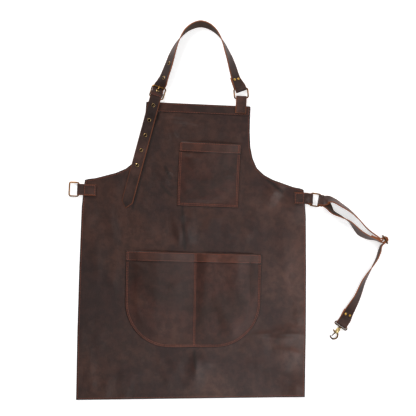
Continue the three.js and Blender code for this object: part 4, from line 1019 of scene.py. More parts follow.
def leather(name, dark, middle, light, rim_and_shade_colour, rough, grain, seed, gloss=0.42):
    """Waxed pull-up cowhide. The wax moves when it bends, so its tone clouds over a hand's width, with paler
    scuffs; the grain is pebbled at about 'grain' millimetres and the cut rims are rubbed darker and redder."""
    material, tree, where = new_material(name)
    place = node(tree, "ShaderNodeMapping", {"Vector": where, "Location": (seed, seed * 0.7, 0)})
    cloud = node(tree, "ShaderNodeTexNoise", {"Vector": place, "Scale": repeats(190), "Detail": 6.0,
                                              "Roughness": 0.6, "Distortion": 0.5})
    tone = node(tree, "ShaderNodeValToRGB", {"Fac": cloud}, ((0.41, dark), (0.5, middle), (0.6, light)))
    rubbed = node(tree, "ShaderNodeTexNoise",
                  {"Vector": place, "Scale": repeats(22), "Detail": 5.0, "Roughness": 0.65})
    mottle = node(tree, "ShaderNodeValToRGB", {"Fac": rubbed}, ((0.42, grey(0.8)), (0.59, grey(1.2))))
    # Painted light: the tone is multiplied paler towards the lower right of the scene and darker towards the upper left
    across = node(tree, "ShaderNodeVectorMath", {0: where, 1: PAINTED_LIGHT_WAY}, operation="DOT_PRODUCT")
    painted_light = node(tree, "ShaderNodeMapRange",
                 {"Value": across, "From Min": -0.3, "From Max": 0.26, "To Min": 0.76, "To Max": 1.22})
    for share in (mottle, painted_light):
        tone = node(tree, "ShaderNodeMix", {"Factor": 1.0, "A": tone, "B": share}, data_type="RGBA",
                    blend_type="MULTIPLY")
    stretched = node(tree, "ShaderNodeMapping", {"Vector": place, "Rotation": (0, 0, 0.5), "Scale": (6, 60, 30)})
    scratch = node(tree, "ShaderNodeTexNoise", {"Vector": stretched, "Scale": 1.6, "Detail": 3.0})
    scuff = node(tree, "ShaderNodeValToRGB", {"Fac": scratch}, ((0.66, grey(0.0)), (0.78, grey(0.35))))
    tone = node(tree, "ShaderNodeMix", {"Factor": scuff, "A": tone, "B": (*light, 1)}, data_type="RGBA")
    # Rim tint: the cut edges' own darker, redder colour; on the front it also paints shade along sharp folds and a
    # shadow line beside the neck strap's tail
    rim = node(tree, "ShaderNodeAttribute", attribute_name="rim", attribute_type="GEOMETRY").outputs["Fac"]
    near = node(tree, "ShaderNodeMapRange",
                {"Value": rim, "From Min": 0.6, "From Max": 3.2, "To Min": 1.0, "To Max": 0.0})
    tone = node(tree, "ShaderNodeMix", {"Factor": near, "A": tone, "B": (*rim_and_shade_colour, 1)}, data_type="RGBA")
    pebble = node(tree, "ShaderNodeTexVoronoi",
                  {"Vector": where, "Scale": repeats(grain), "Randomness": 0.9}, feature="SMOOTH_F1")
    wrinkle = node(tree, "ShaderNodeTexNoise",
                   {"Vector": place, "Scale": repeats(9), "Detail": 4.0, "Roughness": 0.7, "Distortion": 1.1})
    shine = node(tree, "ShaderNodeMapRange", {"Value": cloud, "From Min": 0.3, "From Max": 0.7,
                                              "To Min": rough + 0.08, "To Max": rough - 0.08})
    soft = node(tree, "ShaderNodeBump", {"Height": wrinkle, "Strength": 0.5, "Distance": 0.8 * MM})
    fine = node(tree, "ShaderNodeBump", {"Height": pebble, "Strength": 0.35, "Distance": 0.3 * MM, "Normal": soft})
    return shaded(material, tree, {"Base Color": tone, "Roughness": shine, "Normal": fine, "IOR": 1.48,
                                   "Specular IOR Level": gloss})


def fibrous(name, dark, light, fibre, rough):
    """Flesh side or cut edge of vegetable-tanned hide: matt loose fibres, a millimetre or so long."""
    material, tree, where = new_material(name)
    cloud = node(tree, "ShaderNodeTexNoise", {"Vector": where, "Scale": repeats(30), "Detail": 4.0})
    nap = node(tree, "ShaderNodeTexNoise",
               {"Vector": where, "Scale": repeats(fibre), "Detail": 5.0, "Roughness": 0.7, "Distortion": 1.5})
    both = node(tree, "ShaderNodeMath", {0: cloud, 1: nap}, operation="ADD")
    share = node(tree, "ShaderNodeMath", {0: both, 1: 0.5}, operation="MULTIPLY")
    tone = node(tree, "ShaderNodeValToRGB", {"Fac": share}, ((0.36, dark), (0.62, light)))
    bump = node(tree, "ShaderNodeBump", {"Height": nap, "Strength": 0.6, "Distance": 0.5 * MM})
    return shaded(material, tree, {"Base Color": tone, "Roughness": rough, "Normal": bump, "IOR": 1.45})


def brass(name, worn, dark, rough, patch):
    """Antiqued brass: a brown patina in the hollows, rubbed back to yellow metal in patches 'patch' mm wide."""
    material, tree, where = new_material(name)
    cloud = node(tree, "ShaderNodeTexNoise",
                 {"Vector": where, "Scale": repeats(patch), "Detail": 4.0, "Roughness": 0.6})
    tone = node(tree, "ShaderNodeValToRGB", {"Fac": cloud}, ((0.38, dark), (0.64, worn)))
    shine = node(tree, "ShaderNodeValToRGB", {"Fac": cloud}, ((0.35, grey(rough + 0.15)), (0.65, grey(rough))))
    pits = node(tree, "ShaderNodeTexNoise", {"Vector": where, "Scale": repeats(0.7), "Detail": 3.0})
    bump = node(tree, "ShaderNodeBump", {"Height": pits, "Strength": 0.2, "Distance": 0.1 * MM})
    return shaded(material, tree, {"Base Color": tone, "Metallic": 1.0, "Roughness": shine, "Normal": bump})


def thread(name, dark, light):
    """Waxed polyester sewing thread: two plies twisted together, with a dull wax shine."""
    material, tree, where = new_material(name)
    ply = node(tree, "ShaderNodeTexWave", {"Vector": where, "Scale": repeats(1.6), "Distortion": 0.6},
               bands_direction="DIAGONAL")
    tone = node(tree, "ShaderNodeValToRGB", {"Fac": ply.outputs["Fac"]}, ((0.2, dark), (0.8, light)))
    bump = node(tree, "ShaderNodeBump", {"Height": ply.outputs["Fac"], "Strength": 0.4, "Distance": 0.2 * MM})
    return shaded(material, tree, {"Base Color": tone, "Roughness": 0.55, "Normal": bump, "IOR": 1.5})


def light_table(name, colour, glow):
    """Matt white acrylic of a light table, with a faint tooth. It glows a little, so shadows on it stay pale."""
    material, tree, where = new_material(name)
    tooth = node(tree, "ShaderNodeTexNoise", {"Vector": where, "Scale": repeats(2), "Detail": 2.0})
    bump = node(tree, "ShaderNodeBump", {"Height": tooth, "Strength": 0.05, "Distance": 0.1 * MM})
    return shaded(material, tree, {"Base Color": (*colour, 1), "Roughness": 0.9, "Normal": bump,
                                   "Specular IOR Level": 0.1, "Emission Color": (1, 1, 1, 1),
                                   "Emission Strength": glow})


# Fibrous leather: key, name, dark and pale colour, length of the fibres, roughness
FIBRES = (
    ("flesh", "brown flesh side", "33241d", "4b362b", 1.4, 0.9),
    ("dark_cut", "burnished cut edge", "3c2318", "6b3d28", 1.1, 0.6),
)
# Brass: key, name, worn and dark colour, roughness, width of the worn patches
BRASSES = (
    ("ring", "antique brass, rings", "a8743c", "5a3a20", 0.34, 9),
    ("buckle", "antique brass, buckle", "b98a4c", "4e3320", 0.3, 7),
    ("eyelet", "antique brass, eyelets", "d0b07c", "8a6a44", 0.32, 4),
    # The bores' near-black colour is painted shade inside the eyelet holes
    ("bore", "painted shade brass, eyelet bores", "2c2118", "120d0a", 0.6, 3),
    ("rivet", "polished brass, rivets", "e8bd62", "b3823c", 0.27, 5),
    ("barrel", "pale brass, hook barrel", "e6d29c", "a58a58", 0.24, 7),
    ("bronze", "dark bronze, hook and lever", "7a5c38", "3a2a1c", 0.36, 8),
)


def make_materials(looks):
    # The rims' dark colour; on the front it is also painted shade along folds and beside the tail
    hide, red, rust, rim = tuple(looks.hide), tuple(looks.band), tuple(looks.cut_edge), srgb("1c0f0a")
    MATERIALS["panel"] = leather("waxed pull-up cowhide, front", tinted(hide, 0.7, 0.62, 0.66), hide,
                                 tinted(hide, 1.38, 1.4, 1.38), rim, 0.41, 1.3, 0.0)
    MATERIALS["pocket"] = leather("waxed pull-up cowhide, pockets", tinted(hide, 0.76), tinted(hide, 1.04, 0.88, 0.88),
                                  tinted(hide, 1.34), rim, 0.43, 1.2, 0.37, 0.36)
    MATERIALS["band"] = leather("waxed cowhide, folded bands", tinted(red, 0.8), red, tinted(red, 1.25), rim,
                                0.4, 1.1, 0.81, 0.5)
    MATERIALS["strap"] = leather("waxed bridle leather, straps", srgb("2a1a16"), srgb("38241e"), srgb("4a312a"),
                                 srgb("6a3820"), 0.52, 1.0, 1.3, 0.28)
    MATERIALS["cut"] = fibrous("rust cut edge", tinted(rust, 0.62), tinted(rust, 1.25), 1.1, 0.7)
    for key, name, dark, pale, fibre, rough in FIBRES:
        MATERIALS[key] = fibrous(name, srgb(dark), srgb(pale), fibre, rough)
    MATERIALS["thread"] = thread("waxed rust thread", tinted(looks.thread, 0.75), tuple(looks.thread))
    MATERIALS["dark_thread"] = thread("waxed dark thread", srgb("1d120e"), srgb("38231a"))
    for key, name, worn, dark, rough, patch in BRASSES:
        MATERIALS[key] = brass(name, srgb(worn), srgb(dark), rough, patch)


# Sheets


# Cut areas in square metres, and the share of the front's rows below the waist, with their crowding above it
FRONT_AREA = 0.4034
HIP_AREA = 0.0845
SKIRT_ROWS = 0.66
CROWDING = 0.3
# How far the front's painted shadow line lies beyond the tail's side, in millimetres
TAIL_SHADOW_OFFSET = 4


def row_up(share):
    """Rows of the front are closer together at the armholes."""
    if share <= SKIRT_ROWS:
        return -SKIRT_LENGTH * (1 - share / SKIRT_ROWS)
    stretch = (share - SKIRT_ROWS) / (1 - SKIRT_ROWS)
    return BIB_LENGTH * (CROWDING * stretch * stretch + (1 - CROWDING) * stretch)


def across_bib(u, up):
    return (2 * u - 1) * half_width(up), up


def from_box(offset, width, top, depth):
    """The cut of a rectangle that hangs from top."""
    return lambda u, v: (offset + (u - 0.5) * width, top - depth * (1 - v))


def make_sheet(name, cad_node, finish, slot, leather_mm, grid, cut, top, size, folds=(), **about):
    """A leather sheet laid on what carries it; its flat size is given but not used."""
    bm = pattern_sheet(*grid, cut, top, folds)
    piece = finish_mesh(bm, name, (finish, "flesh", "dark_cut" if finish == "panel" else "cut"), "apron",
                        [cad_node])
    thicken(piece, leather_mm, -1)


def make_band(name, cad_node, columns, offset, width, mouth, top, on):
    make_sheet(name, cad_node, "band", "band", BAND_LEATHER, (columns, 8),
               from_box(offset, width, mouth, POCKET_BAND_HEIGHT), top, (width, POCKET_BAND_HEIGHT), rests_on=[on])


def make_panel():
    # A painted shadow line on the front, beside the tail's right side
    beside = Vector((STRAP_WIDTH / 2 + TAIL_SHADOW_OFFSET, 0))
    folds = SHADED_FOLD_LINES + ((TAIL_TIP + beside, BUCKLE_EDGE + beside),)
    make_sheet("front_hide", "apron_panel", "panel", "panel", PANEL_LEATHER, (140, 196),
               lambda u, v: across_bib(u, row_up(v)), panel_top, (HEM_WIDTH, SKIRT_LENGTH + BIB_LENGTH), folds,
               area=FRONT_AREA)


def make_bib_band():
    make_sheet("bib_top_band", "bib_band", "pocket", "band", BAND_LEATHER, (70, 8),
               lambda u, v: across_bib(u, BIB_LENGTH - BIB_BAND_HEIGHT * (1 - v)), bib_band_top,
               (BIB_TOP_WIDTH, BIB_BAND_HEIGHT), rests_on=["front_hide"])


def make_chest_pocket():
    make_sheet("chest_pouch", "chest_pocket", "pocket", "pocket", POCKET_LEATHER, (56, 58),
               from_box(CHEST_OFFSET, CHEST_WIDTH, CHEST_TOP, CHEST_DEPTH), chest_top, (CHEST_WIDTH, CHEST_DEPTH),
               rests_on=["front_hide"])
    make_band("chest_pouch_band", "chest_pocket_band", 56, CHEST_OFFSET, CHEST_WIDTH, CHEST_TOP, chest_band_top,
              "chest_pouch")


def make_hip_pocket():
    def cut(u, v):
        height = v * HIP_DEPTH
        return HIP_OFFSET + (2 * u - 1) * max(hip_half_width(height), 1), HIP_TOP - HIP_DEPTH + height

    make_sheet("hip_pouch", "hip_pocket", "pocket", "pocket", POCKET_LEATHER, (120, 84), cut, hip_top,
               (HIP_WIDTH, HIP_DEPTH), rests_on=["front_hide"], area=HIP_AREA)
    make_band("hip_pouch_band", "hip_pocket_band", 120, HIP_OFFSET, HIP_WIDTH, HIP_TOP, hip_band_top, "hip_pouch")


# Straps, tabs and keeper


def make_neck_strap():
    holes = [place_at(NECK_PLACES, distance)[0] for distance in EYELET_DISTANCES]
    folded = fold_back(NECK_FROM_RING, STRAP_LEATHER, RING_WIRE, NECK_FOLD_LENGTH, 2 * NECK_END_SLACK + RING_WIRE, 11)
    ribbon("neck_band_strap", "neck_strap", evenly(NECK_PLACES, 2.2) + folded, STRAP_WIDTH, 14, STRAP_LEATHER, holes,
           TAIL_POINT)


def make_waist_strap():
    slider_fold = fold_back(FAR_STRAND, STRAP_LEATHER, 2 * (END_BEND - GAP - STRAP_LEATHER / 2),
                            SLIDER_FOLD_LENGTH, 3, 12)[::-1]
    ring_turn = half_turn(FAR_STRAND[-1], -RIGHT_OUTWARD, STRAP_BEND)
    slider_turn = half_turn(NEAR_STRAND[-1], flat(SLIDER_OUT), PASS_BEND)
    hook_fold = fold_back(HOOK_FROM_FOLD, STRAP_LEATHER, EYE_WIRE, HOOK_FOLD_LENGTH, 4, 11)
    places = slider_fold + FAR_STRAND + ring_turn + NEAR_STRAND + slider_turn + HOOK_STRAND + hook_fold
    ribbon("waist_band_strap", "waist_strap", places, STRAP_WIDTH, 10, STRAP_LEATHER)


def make_tabs():
    tabs = (
        ("left_ring_tab", LEFT_TAB, RING_WIRE, LEFT_TAB_REACH, 0.0, WAIST_TAB_WIDTH, "left_tab"),
        ("right_ring_tab", RIGHT_TAB, RING_WIRE, RIGHT_TAB_REACH, RIGHT_SLACK, WAIST_TAB_WIDTH, "right_tab"),
        ("neck_ring_tab", NECK_TAB, RING_WIRE, NECK_TAB_REACH, NECK_TAB_SLACK, NECK_TAB_WIDTH, "neck_tab"),
        ("buckle_heel_tab", BUCKLE_TAB, BUCKLE_WIRE, BUCKLE_REACH, 0.0, BUCKLE_TAB_WIDTH, "buckle_tab"),
    )
    for name, places, wire, reach, slack, width, cad_node in tabs:
        ribbon(name, cad_node, folded_tab(places, wire, reach, slack), width, 8, TAB_LEATHER)


def buckle_point(outward, height, beside=0.0):
    return flat(HEEL + BUCKLE_WAY * outward, height) + BUCKLE_SIDE * beside


def make_keeper():
    outline = round_cornered(STRAP_WIDTH + 2 * GAP + KEEPER_LEATHER, STRAP_LEATHER + 2 * GAP + KEEPER_LEATHER, 1, 4)
    middle = buckle_point(KEEPER_PLACE, STRAP_OVER_HEEL)
    count = len(outline)

    def place(u, v):
        beside, above, _ = outline[round(u * count) % count]
        return middle + BUCKLE_SIDE * beside + UP * above + flat(BUCKLE_WAY) * (v - 0.5) * KEEPER_HEIGHT

    bm = welded(mapped_grid(count, 5, place, lambda u, v: KEEPER_HEIGHT * min(v, 1 - v)))
    bm.normal_update()
    top = max(bm.faces, key=lambda face: face.calc_center_median().z)
    if top.normal.z < 0:
        bmesh.ops.reverse_faces(bm, faces=bm.faces)
    piece = finish_mesh(bm, "keeper_loop", ("band", "flesh", "cut"), "apron", ["strap_keeper"])
    thicken(piece, KEEPER_LEATHER, 0, 0.3)


# Hardware


def make_rings():
    half = RING_SPAN / 2
    make_frame("left_ring_wire", "left_ring", flat(LEFT_BAR, RESTING_BAR) + LEFT_OUTWARD * half, LEFT_OUTWARD,
               LEFT_FACE, "left_ring")
    make_frame("right_ring_wire", "right_ring", RIGHT_BAR_POINT + RIGHT_OUTWARD * half, RIGHT_OUTWARD, RIGHT_FACE)
    neck_way = flat(NECK_RING_WAY)
    make_frame("neck_ring_wire", "neck_ring", flat(NECK_BAR, NECK_RING_HEIGHT) + neck_way * half, neck_way, UP)


def make_buckle():
    middle = (flat(HEEL, HEEL_HEIGHT) + flat(TOP_BAR, TOP_BAR_HEIGHT)) / 2 + BUCKLE_SIDE * BUCKLE_SHIFT
    make_frame("buckle_wire", "buckle_frame", middle, BUCKLE_RUN, BUCKLE_FACE, material="buckle",
               length=BUCKLE_LENGTH, window=BUCKLE_WINDOW, wire=BUCKLE_WIRE)
    eyelet = place_at(NECK_PLACES, EYELET_DISTANCES[EYELETS_ON_LOOP - 1])
    radius = BUCKLE_WIRE / 2 + GAP + PRONG_WIRE / 2
    over = TOP_BAR_HEIGHT + radius
    curl = [buckle_point(-math.sin(math.radians(a)) * radius, HEEL_HEIGHT + math.cos(math.radians(a)) * radius)
            for a in range(20, 260, 24)]
    stations = curl + [
        buckle_point(0.3 * BUCKLE_SPAN, HEEL_HEIGHT - 0.4), buckle_point(0.52 * BUCKLE_SPAN, HEEL_HEIGHT),
        eyelet[0] - eyelet[2] * 0.9 * STRAP_LEATHER, eyelet[0] + eyelet[2] * 0.9 * STRAP_LEATHER,
        buckle_point(0.97 * BUCKLE_SPAN, over), buckle_point(BUCKLE_SPAN + BUCKLE_WIRE, over),
    ]
    bm = tube(smooth_line(stations, 4), PRONG_WIRE / 2, BUCKLE_SIDE, 10, closed=False,
              taper=lambda u: 1 - slimmer(u))
    finish_mesh(bm, "buckle_tongue", ["buckle"], "apron", ["buckle_prong"])


def slimmer(u):
    """How much thinner a wire gets over its last fifth."""
    return 0.3 * clamp((u - 0.8) * 5)


def smooth_line(points, steps):
    """Points along a smooth line through the stations."""
    made = []
    for i in range(len(points) - 1):
        a = points[max(i - 1, 0)]
        b, c = points[i], points[i + 1]
        d = points[min(i + 2, len(points) - 1)]
        for k in range(steps):
            t = k / steps
            made.append(0.5 * (2 * b + (c - a) * t + (2 * a - 5 * b + 4 * c - d) * t * t
                               + (3 * b - a - 3 * c + d) * t ** 3))
    made.append(points[-1].copy())
    return made


def on_place(bm, place, beside=0.0):
    middle, side, grain = place
    bmesh.ops.transform(bm, matrix=axes(middle + side * beside, side, grain), verts=bm.verts)
    return bm


# How far out from the hole an eyelet takes the near-black bore colour, painted shade in its hole, in millimetres
EYELET_SHADE_REACH = 0.9


def make_eyelets():
    inner = EYELET_HOLE / 2
    barrel = inner + EYELET_WALL
    top = STRAP_LEATHER / 2 + GAP * 0.3
    outer = EYELET_FLANGE / 2
    flange = EYELET_FLANGE_HEIGHT
    profile = [
        (inner, 0.5 - top), (inner, top + 0.3 * flange), (inner + 0.4, top + 0.85 * flange),
        (inner + 1.1, top + flange), (outer - 0.7, top + 0.55 * flange), (outer, top), (outer - 0.4, top - 0.2),
        (barrel, top - 0.2), (barrel, 0.2 - top), (outer - 0.7, 0.2 - top), (outer - 0.7, -top - 0.25),
        (inner * 0.7, -top - 0.25), (inner * 0.7, -top), (inner, 0.5 - top),
    ]
    for number, distance in enumerate(EYELET_DISTANCES, 1):
        bm = turned(profile, 24)
        # Faces near the hole take the near-black bore colour: painted shade
        for face in bm.faces:
            centre = face.calc_center_median() / MM
            face.material_index = int(math.hypot(centre.x, centre.y) < inner + EYELET_SHADE_REACH)
        on_place(bm, place_at(NECK_PLACES, distance))
        finish_mesh(bm, f"eyelet_rim_{number}", ("eyelet", "bore"), "apron", [f"eyelet_{number}"])


def make_rivets():
    top = STRAP_LEATHER / 2
    head = RIVET_HEAD / 2
    high = RIVET_HEAD_HEIGHT
    profile = [(0, top - 0.5), (head - 0.3, top - 0.3), (head, top + 0.25), (head * 0.86, top + 0.62 * high),
               (head * 0.55, top + 0.9 * high), (head * 0.25, top + 0.99 * high), (0, top + high)]
    for label, places in (("neck", NECK_FROM_RING), ("hook", HOOK_FROM_FOLD)):
        for number, side in ((1, -1), (2, 1)):
            bm = on_place(turned(profile, 20), place_at(places, RIVETS_FROM_FOLD), side * RIVET_SPACING / 2)
            finish_mesh(bm, f"{label}_rivet_cap_{number}", ["rivet"], "apron",
                        [f"{label}_rivet_{number}"])


def on_hook(bm):
    bmesh.ops.transform(bm, matrix=axes(flat(HOOK_START, HOOK_HEIGHT), flat(HOOK_WAY), UP), verts=bm.verts)
    return bm


def along_hook(bm):
    """Turns a piece made about Z so that its height runs along the hook."""
    bmesh.ops.rotate(bm, verts=bm.verts, cent=(0, 0, 0), matrix=Matrix.Rotation(math.radians(90), 3, "Y"))
    return on_hook(bm)


EYE_SPAN = EYE_WIRE + STRAP_LEATHER + 3 * GAP
COLLAR_END = EYE_SPAN + EYE_WIRE
NECK_END = COLLAR_END + SWIVEL_PIN
BARREL_END = 0.57 * HOOK_LENGTH


def make_swivel():
    bm = wire_loop(EYE_SPAN, EYE_WINDOW + EYE_WIRE, EYE_SPAN / 2 - GAP, EYE_WIRE, 12)
    bmesh.ops.translate(bm, verts=bm.verts, vec=(EYE_SPAN / 2 * MM, 0, 0))
    finish_mesh(on_hook(bm), "swivel_eye_wire", ["bronze"], "apron", ["swivel_eye"])
    post = SWIVEL_PIN / 2
    collar = HOOK_BARREL * 0.38
    profile = [(0, EYE_SPAN), (collar * 0.8, EYE_SPAN), (collar, EYE_SPAN + 0.8), (collar, COLLAR_END - 0.6),
               (collar * 0.85, COLLAR_END), (post, COLLAR_END), (post, NECK_END + 1), (0, NECK_END + 1)]
    finish_mesh(along_hook(turned(profile, 20)), "swivel_post", ["bronze"], "apron")


def make_hook():
    outer = HOOK_BARREL / 2
    bore = SWIVEL_PIN / 2 + GAP
    profile = [
        (bore, COLLAR_END + GAP), (outer * 0.8, COLLAR_END + GAP), (outer * 0.92, COLLAR_END + 1.2),
        (outer * 0.8, COLLAR_END + 2.4), (outer * 0.98, NECK_END + 0.4), (outer, NECK_END + 2),
        (outer, BARREL_END - 3), (outer * 0.9, BARREL_END - 0.5), (outer * 0.62, BARREL_END + 1.6),
        (outer * 0.3, BARREL_END + 2), (0, BARREL_END + 2),
    ]
    finish_mesh(along_hook(turned(profile, 24)), "hook_barrel", ["barrel"], "hook_body", ["hook_body"])
    stations = [Vector((along * HOOK_LENGTH, beside * HOOK_HALF_WIDTH, 0)) for along, beside in HOOK_ARM]
    bm = on_hook(tube(smooth_line(stations, 5), HOOK_WIRE / 2, UP, 14, closed=False,
                      taper=lambda u: 1.06 - slimmer(u)))
    finish_mesh(bm, "hook_arm", ["bronze"], "hook_body")
    rounded_copy("hook_lever", "hook_thumb_lever", "hook_lever", 0.45)


def make_slider():
    rounded_copy("waist_slider", "strap_slider", "apron", 0.7)


# Stitches


def stitch_template(sizes):
    bm = bmesh.new()
    bmesh.ops.create_uvsphere(bm, u_segments=6, v_segments=4, radius=0.5)
    bmesh.ops.rotate(bm, verts=bm.verts, cent=(0, 0, 0), matrix=Matrix.Rotation(math.radians(90), 3, "Y"))
    bmesh.ops.scale(bm, vec=Vector((sizes.stitch_length, sizes.thread_width, sizes.thread_width * 0.7)),
                    verts=bm.verts)
    mesh = bpy.data.meshes.new("one stitch")
    bm.to_mesh(mesh)
    bm.free()
    return mesh


def resample(points, pitch):
    """Even points along a line, with the way it runs at each."""
    lengths = [0.0]
    for before, after in zip(points, points[1:]):
        lengths.append(lengths[-1] + (after[0] - before[0]).length)
    count = max(1, round(lengths[-1] / pitch))
    made = []
    segment = 0
    for k in range(count):
        at = (k + 0.5) * lengths[-1] / count
        while segment < len(lengths) - 2 and lengths[segment + 1] < at:
            segment += 1
        span = lengths[segment + 1] - lengths[segment]
        share = (at - lengths[segment]) / span if span else 0
        (a, normal_a), (b, normal_b) = points[segment], points[segment + 1]
        made.append((a.lerp(b, share), (b - a).normalized(), normal_a.lerp(normal_b, share).normalized()))
    return made


def sew(name, lines, template, pitch, material="thread"):
    """Stitches along lines of points and the ways the surface faces there, a copy of template at every pitch."""
    bm = bmesh.new()
    for line in lines:
        for point, way, normal in resample(line, pitch):
            before = len(bm.verts)
            bm.from_mesh(template)
            bm.verts.ensure_lookup_table()
            bmesh.ops.transform(bm, matrix=axes(point, way, normal), verts=bm.verts[before:])
    finish_mesh(bm, name, [material], "apron")


def along(corners, step):
    """Even places along a line through pairs."""
    for (a0, b0), (a1, b1) in zip(corners, corners[1:]):
        count = max(1, int(math.hypot(a1 - a0, b1 - b0) / step))
        for k in range(count + (1 if (a1, b1) == corners[-1] else 0)):
            yield a0 + (a1 - a0) * k / count, b0 + (b1 - b0) * k / count


def on_sheet(corners, top):
    """A line on a pattern sheet through (across, up) corners, as points and the ways the sheet faces."""
    line = []
    for across, up in along(corners, 6):
        here = top(across, up)
        lean = Vector((here - top(across + 1, up), here - top(across, up + 1), 1))
        line.append((flat(lay(across, up), here), lean.normalized()))
    return line


def on_run(places, corners, leather_mm):
    """A line on a strap through (distance, beside) corners."""
    line = []
    for distance, beside in along(corners, 3):
        middle, side, grain = place_at(places, max(0.01, distance))
        line.append((middle + side * beside + grain * (leather_mm / 2 + 0.1), grain))
    return line


def box_line(near, far, side):
    return [(near, -side), (far, -side), (far, side), (near, side), (near, -side)]


def edge_line(side, inset):
    """Down one side of the front, kept off its edge: armhole, waist corner and skirt."""
    corners = []
    for k in range(61):
        up = (BIB_LENGTH - BIB_BAND_HEIGHT + 2) * (1 - k / 60)
        if up > 9:
            ahead = half_width(up - 4) - half_width(up + 4)
            lean = math.hypot(8, ahead)
            corners.append((side * (half_width(up) - inset * 8 / lean), up - inset * ahead / lean))
    corners.append((side * (half_width(-1) - inset), -inset - 1))
    for k in range(1, 30):
        up = -inset - 1 - (SKIRT_LENGTH - 2 * inset - 1) * k / 29
        corners.append((side * (half_width(up) - inset), up))
    return corners


# Rows of stitches: their ways from an edge, either side of the divider, and off a band's lower edge and pocket's lip
OUTER_ROW = 3
INNER_ROW = 7
HIP_INNER_ROW = 6.5
DIVIDER_ROW = 1.6
BAND_ROW = 2.5
LIP_ROW = 2


def edge_seams(inset):
    hem = -SKIRT_LENGTH + inset
    half = half_width(hem) - inset
    return [on_sheet(edge_line(side, inset), panel_top) for side in (-1, 1)] + [
        on_sheet([(-half, hem), (half, hem)], panel_top)]


def divider_seams(low, high, top):
    middle = HIP_OFFSET + HIP_DIVIDER
    return [on_sheet([(middle + offset, low), (middle + offset, high)], top)
            for offset in (-DIVIDER_ROW, DIVIDER_ROW)]


def band_seams(inset):
    half = BIB_TOP_WIDTH / 2 - inset
    low, high = BIB_LENGTH - BIB_BAND_HEIGHT + BAND_ROW, BIB_LENGTH - OUTER_ROW
    lines = [on_sheet(corners, bib_band_top) for corners in (
        [(-half, low), (half, low)], [(-half, high), (half, high)], [(half, low), (half, high)])]
    for offset, width, mouth, top in ((CHEST_OFFSET, CHEST_WIDTH, CHEST_TOP, chest_band_top),
                                      (HIP_OFFSET, HIP_WIDTH, HIP_TOP, hip_band_top)):
        low, high = mouth - POCKET_BAND_HEIGHT + BAND_ROW, mouth - OUTER_ROW
        reach = width / 2 - OUTER_ROW
        lines += [on_sheet([(offset - reach, up), (offset + reach, up)], top) for up in (low, high)]
        for row in (OUTER_ROW, INNER_ROW):
            for across in (offset - width / 2 + row, offset + width / 2 - row):
                lines.append(on_sheet([(across, low), (across, high)], top))
    return lines + divider_seams(low, high, hip_band_top)


def pocket_seams():
    lines = []
    foot, lip = CHEST_TOP - CHEST_DEPTH, CHEST_TOP - POCKET_BAND_HEIGHT - LIP_ROW
    for row in (OUTER_ROW, INNER_ROW):
        left, right = CHEST_OFFSET - CHEST_WIDTH / 2 + row, CHEST_OFFSET + CHEST_WIDTH / 2 - row
        lines.append(on_sheet([(left, lip), (left, foot + row), (right, foot + row), (right, lip)], chest_top))
    foot, lip = HIP_TOP - HIP_DEPTH, HIP_TOP - POCKET_BAND_HEIGHT - LIP_ROW
    for row in (OUTER_ROW, HIP_INNER_ROW):
        corners = [(HIP_OFFSET - HIP_WIDTH / 2 + row, lip)]
        for side, start in ((-1, 180), (1, 270)):
            for k in range(19):
                angle = math.radians(start + 5 * k)
                corners.append((HIP_OFFSET + side * (HIP_WIDTH / 2 - HIP_CORNER) + (HIP_CORNER - row) * math.cos(angle),
                                foot + HIP_CORNER + (HIP_CORNER - row) * math.sin(angle)))
        corners.append((HIP_OFFSET + HIP_WIDTH / 2 - row, lip))
        lines.append(on_sheet(corners, hip_top))
    return lines + divider_seams(foot + SEAM_WIDTH, lip, hip_top)


def keeper_seam():
    high = STRAP_LEATHER / 2 + GAP + KEEPER_LEATHER + 0.1
    outward = KEEPER_PLACE - KEEPER_HEIGHT / 2 + DIVIDER_ROW
    return [(buckle_point(outward, STRAP_OVER_HEEL + high, (STRAP_WIDTH + 0.4) * (k / 8 - 0.5)), UP)
            for k in range(9)]


def make_stitching(sizes):
    template = stitch_template(sizes)
    pitch, inset = sizes.stitch_pitch / MM, sizes.seam_inset / MM
    sew("edge_stitching", edge_seams(inset), template, pitch)
    sew("band_stitching", band_seams(inset), template, pitch)
    sew("pocket_stitching", pocket_seams(), template, pitch)
    side = WAIST_TAB_WIDTH / 2 - OUTER_ROW
    tabs = [on_run(places, box_line(start + OUTER_ROW, start + sewn - OUTER_ROW, side), TAB_LEATHER)
            for places, start, sewn in ((LEFT_TAB, LEFT_TAB_REACH, WAIST_TAB_SEWN),
                                        (RIGHT_TAB, RIGHT_TAB_REACH + RIGHT_SLACK, RIGHT_TAB_SEWN))]
    sew("tab_stitching", tabs, template, pitch)
    side = NECK_TAB_WIDTH / 2 - OUTER_ROW
    start = NECK_TAB_REACH + NECK_TAB_SLACK
    near, far = start + BAND_ROW, start + NECK_TAB_SEWN - OUTER_ROW
    box_and_cross = (box_line(near, far, side), [(near, -side), (far, side)], [(near, side), (far, -side)])
    sew("neck_tab_stitching", [on_run(NECK_TAB, corners, TAB_LEATHER) for corners in box_and_cross], template, pitch,
        "dark_thread")
    sew("keeper_stitching", [keeper_seam()], template, pitch)
    bpy.data.meshes.remove(template)


# Stage


# The photograph's pixels, the millimetres in one, and the middle of its frame; camera height and floor in metres
PIXELS = 416
PIXEL_MM = 2.65
FRAME_CENTRE = Vector((39.75, 126.8))
SENSOR = 36
CAMERA_HEIGHT = 9.0
FLOOR_HALF = 6
FLOOR_DROP = 0.0003


# Softboxes: name, place, what each is aimed at, size, share of the key light's power
SOFTBOXES = (
    ("key softbox", (-1.5, 2.6, 2.0), (0, 0.1, 0), 1.6, 1),
    ("gloss softbox", (0.62, -0.68, 2.1), (0.2, -0.2, 0), 0.9, 0.14),
    ("right softbox", (2.3, 0.6, 1.7), (0.1, 0.1, 0), 1.6, 0.19),
    ("foot softbox", (1.3, -2.3, 1.6), (0, -0.2, 0), 1.7, 0.1),
)


